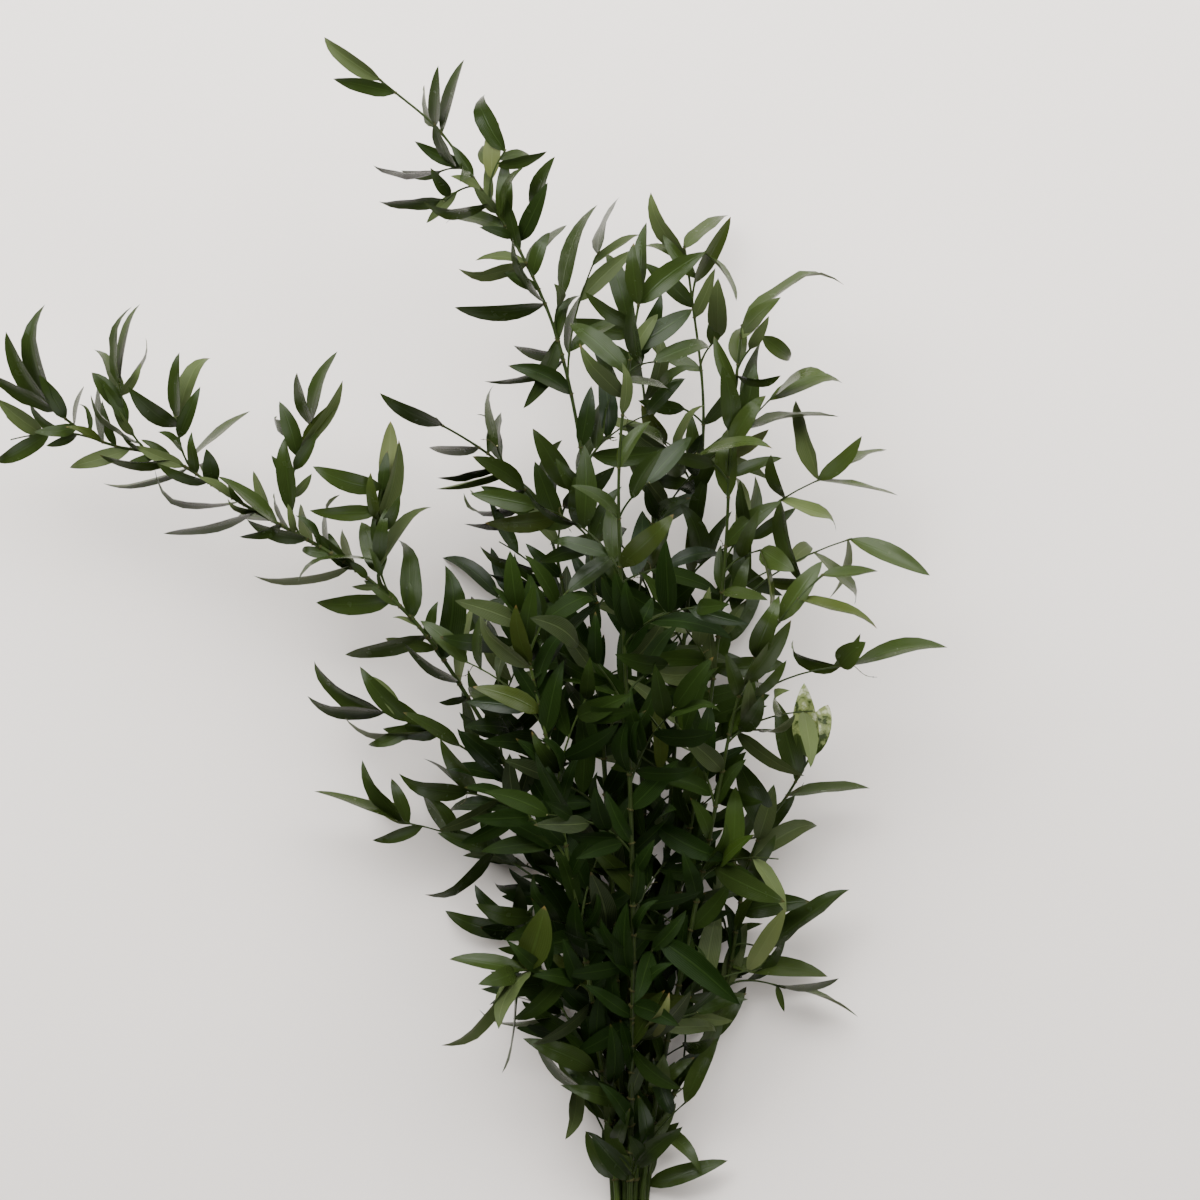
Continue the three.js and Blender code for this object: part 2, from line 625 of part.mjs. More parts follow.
// An outer leaf: its root and tip are given as seen from above, and the breadth that is seen.
function outerLeaf(stem, [x0, y0, x1, y1, seenBreadth]) {
  const place = nearestWood(stem.limbs, x0, y0);
  const plan = new THREE.Vector3(x1 - place.point.x, y1 - place.point.y, 0);
  const seen = plan.length();
  plan.divideScalar(seen);
  const full = Math.max(seen * LEAST_HIDDEN, Math.min(between(...LEAF_LENGTH), seen * MOST_HIDDEN));
  const breadth = Math.max(seenBreadth, 2 * full * between(...LEAF_SLIMNESS)) / 2;
  const rise = Math.acos(seen / full);
  const roll = Math.acos(Math.min(1, seenBreadth / (2 * breadth)));
  const curl = between(...OUTER_CURL);
  const fold = between(...FOLD);
  const twist = between(...TWIST);
  const first = draw() < 0.5 ? -1 : 1;
  const stations = full > LONG_FROM ? LONG_BLADE : SHORT_BLADE;
  const size = { arc: arcOf(full, curl), breadth, curl, fold, twist, stations };
  placeLeaf(stem, place.limb, OUTER_TRIES, (attempt) => {
    const rises = attempt % 2 ? -first : first;
    const rolls = Math.floor(attempt / 2) % 2 ? -1 : 1;
    const more = POSE_STEP * (Math.floor(attempt / 4) % POSE_STEPS);
    const spot = slideRoot(place, ROOT_SLIDE[Math.floor(attempt / (4 * POSE_STEPS))]);
    const leaf = makeLeaf(spot, plan, rises * (rise + more), rolls * (roll + more), size);
    return fitsTable(leaf) ? leaf : null;
  });
}

// A leaf that stands on the table with its tip.
function restingLeaf(stem, [x0, y0, x1, y1, breadth]) {
  const place = nearestWood(stem.limbs, x0, y0);
  const plan = new THREE.Vector3(x1 - place.point.x, y1 - place.point.y, 0);
  const seen = plan.length();
  plan.divideScalar(seen);
  const rise = -Math.atan2(place.point.z, seen);
  const [curl] = INNER_CURL;
  const [fold] = FOLD;
  const arc = arcOf(Math.hypot(seen, place.point.z), curl);
  const size = { arc, breadth: breadth / 2, curl, fold, twist: 0, stations: LONG_BLADE };
  placeLeaf(stem, place.limb, 1, () => makeLeaf(place, plan, rise, 0, size));
}

// A leaf placed by rule at a node: alternate sides, swept forward along its limb.
function nodeLeaf(stem, limb, distance, side, scale) {
  const place = { limb, distance, ...alongLimb(limb, distance) };
  const level = Math.atan2(place.heading.y, place.heading.x);
  const climb = Math.asin(place.heading.z);
  placeLeaf(stem, limb, TRIES, (attempt) => {
    const loose = 1 + attempt * LOOSER;
    const full = between(...LEAF_LENGTH) * scale;
    const breadth = full * between(...LEAF_SLIMNESS);
    const turn = side * between(...LEAF_TURN) + between(...LEAF_SWAY) * loose;
    const plan = new THREE.Vector3(Math.cos(level + turn), Math.sin(level + turn), 0);
    const rise = Math.min(STEEPEST_RISE, climb * Math.cos(turn) + between(...LEAF_RISE) * loose);
    const roll = between(...LEAF_ROLL) * loose;
    const curl = between(...INNER_CURL);
    const fold = between(...FOLD);
    const twist = between(...TWIST);
    const size = { arc: arcOf(full, curl), breadth, curl, fold, twist, stations: SHORT_BLADE };
    const leaf = makeLeaf(place, plan, rise, roll, size);
    return fitsTable(leaf) && inSpread(onBlade(leaf, 1, 0, 0)) ? leaf : null;
  });
}

function leafyStretch(stem, limb, from) {
  let side = draw() < 0.5 ? -1 : 1;
  for (let distance = from; distance < limb.length - LAST_LEAF; distance += LEAF_SPACING) {
    nodeLeaf(stem, limb, distance, side, 1);
    side = -side;
  }
  nodeLeaf(stem, limb, limb.length - END_LEAF.inset, 0, END_LEAF.scale);
}

function addShoot(stem, from, end) {
  const line = shootLine(from.point, from.heading, end);
  const limb = makeLimb(line, SHOOT_RING_GAP, SHOOT_RADIUS, SHOOT_TIP_RADIUS, 0);
  if (!clear(woodSamples(limb, SHOOT_CLEAR_FROM), SHOOT_GAP, stem.limbs[0], 0)) return null;
  take(woodSamples(limb, SHOOT_TAKEN_FROM), limb);
  stem.limbs.push(limb);
  return limb;
}

// Side shoots that are given: the rise changes a little where the way is not clear.
function outerShoot(stem, [x0, y0, x1, y1, rise]) {
  const from = nearestWood([stem.limbs[0]], x0, y0);
  for (const more of RISE_CHANGES) {
    const end = new THREE.Vector3(x1, y1, Math.max(LOWEST_SHOOT_END, from.point.z + rise + more));
    if (addShoot(stem, from, end)) return;
  }
}

// Whether a place is inside the dense part of the bunch, seen from above.
function inSpread({ x, y }) {
  const above = SPREAD.findIndex((row) => row[0] > y);
  if (above < 1) return false;
  const [y0, left0, right0] = SPREAD[above - 1];
  const [y1, left1, right1] = SPREAD[above];
  const share = (y - y0) / (y1 - y0);
  return x > left0 + (left1 - left0) * share && x < right0 + (right1 - right0) * share;
}

// Short twigs on alternate sides, one every few centimetres.
function innerTwigs(stem, [low, high]) {
  const trunk = stem.limbs[0];
  const twigs = [];
  let side = draw() < 0.5 ? -1 : 1;
  for (let distance = low; distance < Math.min(high, trunk.length); distance += TWIG_SPACING) {
    const from = alongLimb(trunk, distance);
    const level = Math.atan2(from.heading.y, from.heading.x);
    side = -side;
    for (let attempt = 0; attempt < TRIES; attempt += 1) {
      const angle = level + side * between(...TWIG_TURN);
      const reach = between(...TWIG_LENGTH);
      const rise = between(...TWIG_RISE) * reach;
      const end = from.point.clone();
      end.add(new THREE.Vector3(Math.cos(angle) * reach, Math.sin(angle) * reach, rise));
      end.z = Math.max(end.z, LOWEST_SHOOT_END);
      const limb = inSpread(end) ? addShoot(stem, from, end) : null;
      if (limb) {
        twigs.push(limb);
        break;
      }
    }
  }
  return twigs;
}

function trunkOf({ grip, route }) {
  const [x, row] = grip;
  const height = STEM_RADIUS * Math.cos(Math.PI / STEM_SIDES) + row * ROW_RISE;
  const corners = [];
  for (let i = 0; i < GRIP_CORNERS; i += 1) {
    const y = CUT_END_Y + ((GRIP_TOP_Y - CUT_END_Y) * i) / (GRIP_CORNERS - 1);
    corners.push(new THREE.Vector3(x, y, height));
  }
  for (const [routeX, y, rise] of route) corners.push(new THREE.Vector3(routeX, y, height + rise));
  const taperFrom = GRIP_TOP_Y - CUT_END_Y;
  return makeLimb(routeLine(corners), STEM_RING_GAP, STEM_RADIUS, STEM_TIP_RADIUS, taperFrom);
}

const stems = STEMS.map((plan) => ({ plan, limbs: [trunkOf(plan)], blades: [] }));
for (const stem of stems) take(woodSamples(stem.limbs[0], 0), stem.limbs[0]);
for (const stem of stems) stem.plan.shoots.forEach((row) => outerShoot(stem, row));
for (const stem of stems) stem.plan.rests.forEach((row) => restingLeaf(stem, row));
for (const stem of stems) stem.twigs = innerTwigs(stem, stem.plan.inner);
for (const stem of stems) stem.plan.leaves.forEach((row) => outerLeaf(stem, row));
for (const stem of stems) {
  const trunk = stem.limbs[0];
  if (stem.plan.crown) leafyStretch(stem, trunk, trunk.length - stem.plan.crown);
  for (const twig of stem.twigs) leafyStretch(stem, twig, FIRST_LEAF);
}

// Joins a stem's wood, shoots and blades, and fills any hollow that is sealed where blades meet.
function fuse(stem) {
  let body = stemWood(stem.limbs[0]);
  for (const limb of stem.limbs.slice(1)) body = body.add(shootWood(limb));
  for (const leaf of stem.blades) body = body.add(bladeSolid(leaf));
  return body.decompose().reduce((most, part) => (part.volume() > most.volume() ? part : most));
}

const bunch = new THREE.Group();
for (const stem of stems) {
  const { vertProperties, triVerts } = fuse(stem).getMesh();
  const shape = new THREE.BufferGeometry();
  shape.setAttribute("position", new THREE.BufferAttribute(vertProperties, 3));
  shape.setIndex(new THREE.BufferAttribute(triVerts, 1));
  const mesh = new THREE.Mesh(shape, new THREE.MeshStandardMaterial(WOOD));
  mesh.name = stem.plan.name;
  bunch.add(mesh);
}

export default bunch;
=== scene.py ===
"""A bunch of cut Italian ruscus, lying on a table with its leafy side up.

The stems, shoots and leaves are placed by the same rules and the same seeded draws as the CAD
solids, so each fine stem lies in the space of the solid that it stands for.
"""

import itertools
import math
import random

import bmesh
import bpy
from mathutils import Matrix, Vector


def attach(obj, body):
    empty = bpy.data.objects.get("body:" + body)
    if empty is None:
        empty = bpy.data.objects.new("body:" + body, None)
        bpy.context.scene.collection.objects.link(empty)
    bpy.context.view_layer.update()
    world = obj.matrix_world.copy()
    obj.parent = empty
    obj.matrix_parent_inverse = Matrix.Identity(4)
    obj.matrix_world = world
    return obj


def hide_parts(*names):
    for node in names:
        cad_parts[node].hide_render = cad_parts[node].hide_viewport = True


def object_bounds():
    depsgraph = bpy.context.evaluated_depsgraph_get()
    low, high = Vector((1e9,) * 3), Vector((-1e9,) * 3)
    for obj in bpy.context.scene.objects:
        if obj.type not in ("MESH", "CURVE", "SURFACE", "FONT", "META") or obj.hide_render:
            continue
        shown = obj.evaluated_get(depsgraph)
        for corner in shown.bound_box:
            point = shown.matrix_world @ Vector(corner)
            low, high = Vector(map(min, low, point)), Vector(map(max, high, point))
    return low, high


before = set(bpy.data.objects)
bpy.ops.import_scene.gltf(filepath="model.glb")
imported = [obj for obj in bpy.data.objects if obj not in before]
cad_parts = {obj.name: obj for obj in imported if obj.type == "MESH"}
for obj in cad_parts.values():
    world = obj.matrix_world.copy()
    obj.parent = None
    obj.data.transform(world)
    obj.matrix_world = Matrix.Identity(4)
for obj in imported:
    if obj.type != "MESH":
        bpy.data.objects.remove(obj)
cad_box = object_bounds()

MM = 0.001
UP = (0.0, 0.0, 1.0)

# Sizes are in millimetres and angles in radians. First the solids' own: their wood
STEM_RADIUS = 2.6
STEM_TIP_RADIUS = 1.0
SHOOT_RADIUS = 1.0
SHOOT_TIP_RADIUS = 0.8
STEM_SIDES = 5
STEM_RING_GAP = 48
SHOOT_RING_GAP = 26
CUT_END_Y = -80
GRIP_TOP_Y = 55
GRIP_PITCH = 5.6
ROW_RISE = GRIP_PITCH * math.sin(math.pi / 3)
GRIP_CORNERS = 4
CHORDS_PER_CORNER = 8
SHOOT_CHORDS = 8
SHOOT_BEND = 0.25
LOWEST_SHOOT_END = 4
RISE_CHANGES = [0, 5, -5, 10, -10, 16, -16, 24, -24]
TWIG_SPACING = 50
TWIG_LENGTH = (45, 74)
TWIG_TURN = (0.45, 1.15)
TWIG_RISE = (-0.7, 0.8)

# Their leaves
LEAF_LENGTH = (43, 60)
LEAF_SLIMNESS = (0.13, 0.165)
BLADE_THICKNESS = 0.8
SHOULDER = 0.7
TAPER = 1.1
LEAF_SPACING = 16
ROOT_SINK = 0.3
OUTER_CURL = (0.15, 0.55)
INNER_CURL = (0.25, 0.9)
FOLD = (0.2, 0.5)
TWIST = (-0.35, 0.35)
LEAST_HIDDEN = 1.02
MOST_HIDDEN = 1.35
POSE_STEP = 0.14
POSE_STEPS = 4
ROOT_SLIDE = [0, 5, -5]
LEAF_TURN = (0.5, 1.05)
LEAF_SWAY = (-0.3, 0.3)
LEAF_RISE = (-0.35, 0.5)
LEAF_ROLL = (-0.8, 0.8)
LOOSER = 0.08
STEEPEST_RISE = 1.3
FIRST_LEAF = 12
LAST_LEAF = 6
END_LEAF_INSET = 1.5
END_LEAF_SCALE = 0.9

# How they are kept apart. Gaps are the least room to what other limbs hold, and to what a leaf's
# own limb or a shoot's own stem holds.
LEAF_GAPS = (4.8, 3)
SHOOT_GAPS = (4.2, 0)
ROOT_STEP = 1
WOOD_SAMPLE = 5
SHOOT_CLEAR_FROM = 8
SHOOT_TAKEN_FROM = 3
BLADE_SAMPLES = [0.15, 0.27, 0.39, 0.51, 0.63, 0.75, 0.88]
EDGES_AND_RIB = [-1, 0, 1]
TABLE_SAMPLES = [0.16, 0.42, 0.74, 1]
MOST_PRESS = 7
LEAST_FLAT = 0.6
TRIES = 24
SEED = 20311
DRAW_FACTOR = 16807
DRAW_RANGE = 2147483647

# The poses that an outer leaf tries: its root's slide, its steps further, its roll and its rise
OUTER_POSES = list(itertools.product(ROOT_SLIDE, range(POSE_STEPS), (1, -1), (1, -1)))

# How leaves are placed by rule: in the solids, then the smaller ones that are only here. Those
# fill the twigs, cover the stems in the bunch, and hug the stems and shoots that stand out of it.
# Their spacing changes from the first to the second number between two heights of the bunch.
GROWN = {"tries": TRIES, "gaps": LEAF_GAPS, "turns": LEAF_TURN}
FILL = {"tries": 12, "gaps": (2.4, 1.6), "turns": LEAF_TURN, "spacing": (34, 70), "scales": (0.72, 0.98)}
COVER = {"tries": 12, "gaps": (1.8, 0.9), "turns": (0.1, 0.85), "spacing": (21, 38), "scales": (0.7, 1)}
HUG = {"tries": 12, "gaps": (1.8, 0.9), "turns": (0.1, 0.85), "spacing": (10, 10), "scales": (0.42, 0.85)}
BUNCH_OPENS = (220, 580)
FIRST_SMALL_LEAF = 17
BARE_TIPS = {"stem_top_left": 78}
FILL_SEED = 7

# The fine wood: round, and no thicker than the faceted solids
ROUND_SHARE = 0.82
STEM_FACES = 12
SHOOT_FACES = 7
STEM_STEP = 6
SHOOT_STEP = 3
SHOOT_ROOT = 0.85
SHOOT_END = 0.5
SEAT_FADE = 20
NODE_SWELL = 0.22
NODE_REACH = 2.2
TABLE_CLEAR = 0.05

# The fine blades: faces across and along, then thickness and how the margins and the tip lie
BLADE_FACES = (4, 9)
RIB_THICKNESS = 0.5
EDGE_THICKNESS = 0.22
FINE_SHOULDER = 0.52
FINE_TAPER = 0.84
STALK_SHARE = 0.035
STALK_BREADTH = 0.5
TIP_BREADTH = 0.12
KEEL_ROUND = 0.16
EDGE_ROLL = (0.0, 0.3)
WAVE = (0.0, 0.14)
WAVES = (1.0, 2.2)
TIP_HOOK = 0.28
HOOK_RARITY = 3
HOOK_FROM = 0.66
BOW = (-0.05, 0.05)

# How the leaves' greens differ: each leaf's own, the painted shade that darkens the leaves inside
# the bunch, more so low in it, how many show their undersides, and how rare yellowed ones are
TONE_SPREAD = 0.3
PAINTED_SHADE_DEPTH = 70
PAINTED_SHADE_FADES = (1.0, 0.15)
PAINTED_SHADE_UP_TO = (200, 640)
PAINTED_SHADE_TONE = 0.7
PAINTED_SHADE_FROM = 0.45
TURNED_OVER = 0.2
TURNED_IN_PAINTED_SHADE = 0.05
AGE_POWER = 9
LOOK_SEED = 11

# The dry scales at the leaf roots, and the thin old flower stalks with their dry buds
BRACT_LENGTH = (2.2, 3.8)
BRACT_WIDTH = 1.5
BRACT_LEAN = 0.8
BRACT_TIP = 0.1
BRACT_SEAT = 0.25
BRACT_SIDES = 5
SPUR_SHARE = 0.12
SPUR_LENGTH = (6, 11)
SPUR_CHORDS = 8
SPUR_TURN = 1.2
SPUR_CURL = 0.5
SPUR_RADIUS = 0.34
SPUR_THINS = 0.5
SPUR_SIDES = 5
BUD_RADIUS = 0.55
FIRST_BUD = 3
BUD_STEP = 2
FLOWER_STALKS = [
    (155, 421, 171, 411),
    (-107, 425, -118, 416),
    (100, 337, 112, 344),
    (-133, 627, -141, 634),
    (-91, 578, -102, 585),
    (49, 428, 58, 437),
]

# What each face tells its material: how fresh its green is, which also holds the painted shade
# of the inner leaves, how old it is, and how scarred
FACE_VALUES = ["tone", "age", "scar"]
UPPER, UNDER, BARK, CUT, SCALE, PAINTED_SHADE_UPPER = range(6)
SCARRED_TIPS = [(122, 408), (141, 395)]
MERGE = 1e-4

# How fresh the green of each stem's leaves and bark is, from 0 to 1
GREENS = {
    "stem_left_arch": (0.5, 0.3),
    "stem_top_left": (0.45, 0.25),
    "stem_left_front": (0.5, 0.6),
    "stem_left_back": (0.45, 0.2),
    "stem_centre_front": (0.5, 0.2),
    "stem_back_right": (0.7, 0.3),
    "stem_right_top": (0.75, 0.3),
    "stem_right_mid": (0.75, 0.3),
    "stem_right_low": (0.6, 0.3),
    "stem_centre_back": (0.45, 0.2),
}

# Leaf patterns: their size in millimetres and their detail. The real grain of the skin is finer,
# and is drawn as coarse as it needs to be seen.
CLOUDS = (9, 3.0)
FLAKES = (7, 5.0)
GRAIN = (0.6, 2.0)
CLOUD_DEPTH = 0.09
GLOSS_SPREAD = 0.07

# Veins and ridges are counted across a blade or round a stem. A wave texture of scale 1 has a
# wave every 2 pi / 20 of its coordinates.
VEINS = 14
VEIN_WANDER = 0.5
VEIN_SHARE = 0.18
VEIN_RELIEF = 0.3
GRAIN_RELIEF = 0.25
RIDGES = 9
RIDGE_WANDER = 1.0
PATCH_DETAIL = 3.0
PATCH_DEPTH = 0.5
WAVE_TO_COUNT = 2 * math.pi / 20
RIB_SHARE = 0.035
RIB_STRENGTH = 0.28
GROOVE = 0.12

# Plant wax and bark, and the little light that comes through a leathery blade
CUTICLE_IOR = 1.45
BARK_SHINE = 0.1
THROUGH_SHARE = 0.05
THROUGH_TINT = 0.5

# What age does: a yellow tinge from a certain age, and dry tips. Scars start where they do along
# a blade, give or take the flakes, and are drawn one over the other.
YELLOW_FROM = 0.6
YELLOW_SHARE = 0.5
DRY_TIP_FROM = (0.9, 0.97)
DRY_TIP = "#5A4526"
SCAR_DRIFT = 0.5
SCARS = [(0.68, "#6E7848"), (0.86, "#A9AC8E"), (1.0, "#5E5233")]
SCAR_BLEND = 0.1

# The table, the room and the lamps: name, place in metres, size in metres and power in watts
TABLE = "#E2DBD5"
TABLE_ROUGHNESS = 0.9
TABLE_SIDES = 96
ROOM = "#F6F4EE"
ROOM_POWER = 0.12
TABLE_RADIUS = 30
LIGHTS = [
    ("back", (0.0, 2.0, 1.4), 2.0, 120),
    ("key", (-2.0, 2.0, 2.0), 2.0, 140),
    ("fill", (2.6, 1.8, 2.0), 2.4, 120),
    ("foot", (0.6, -3.0, 2.4), 2.4, 75),
]

# The camera: what it looks at, how wide and how high up that is, and how far away it stands
SENSOR = 36
VIEW_CENTRE = (-21, 466)
VIEW_WIDTH = 840
VIEW_HEIGHT = 75
CAMERA_DISTANCE = 6000

# How far the dense part of the bunch reaches, seen from above: y, its left x and its right x
SPREAD = [
    [50, -24, 28], [80, -28, 42], [105, -42, 40], [130, -52, 48], [155, -84, 62], [180, -106, 84],
    [205, -108, 106], [255, -114, 122], [280, -118, 108], [305, -140, 112], [350, -150, 126],
    [375, -130, 136], [400, -118, 126], [425, -126, 118], [455, -150, 118], [480, -160, 132],
    [505, -126, 136], [530, -112, 126], [560, -112, 112], [590, -112, 104], [620, -98, 108],
    [645, -92, 110], [670, -64, 104], [690, -50, 80], [715, -40, 62], [740, -10, 10],
]

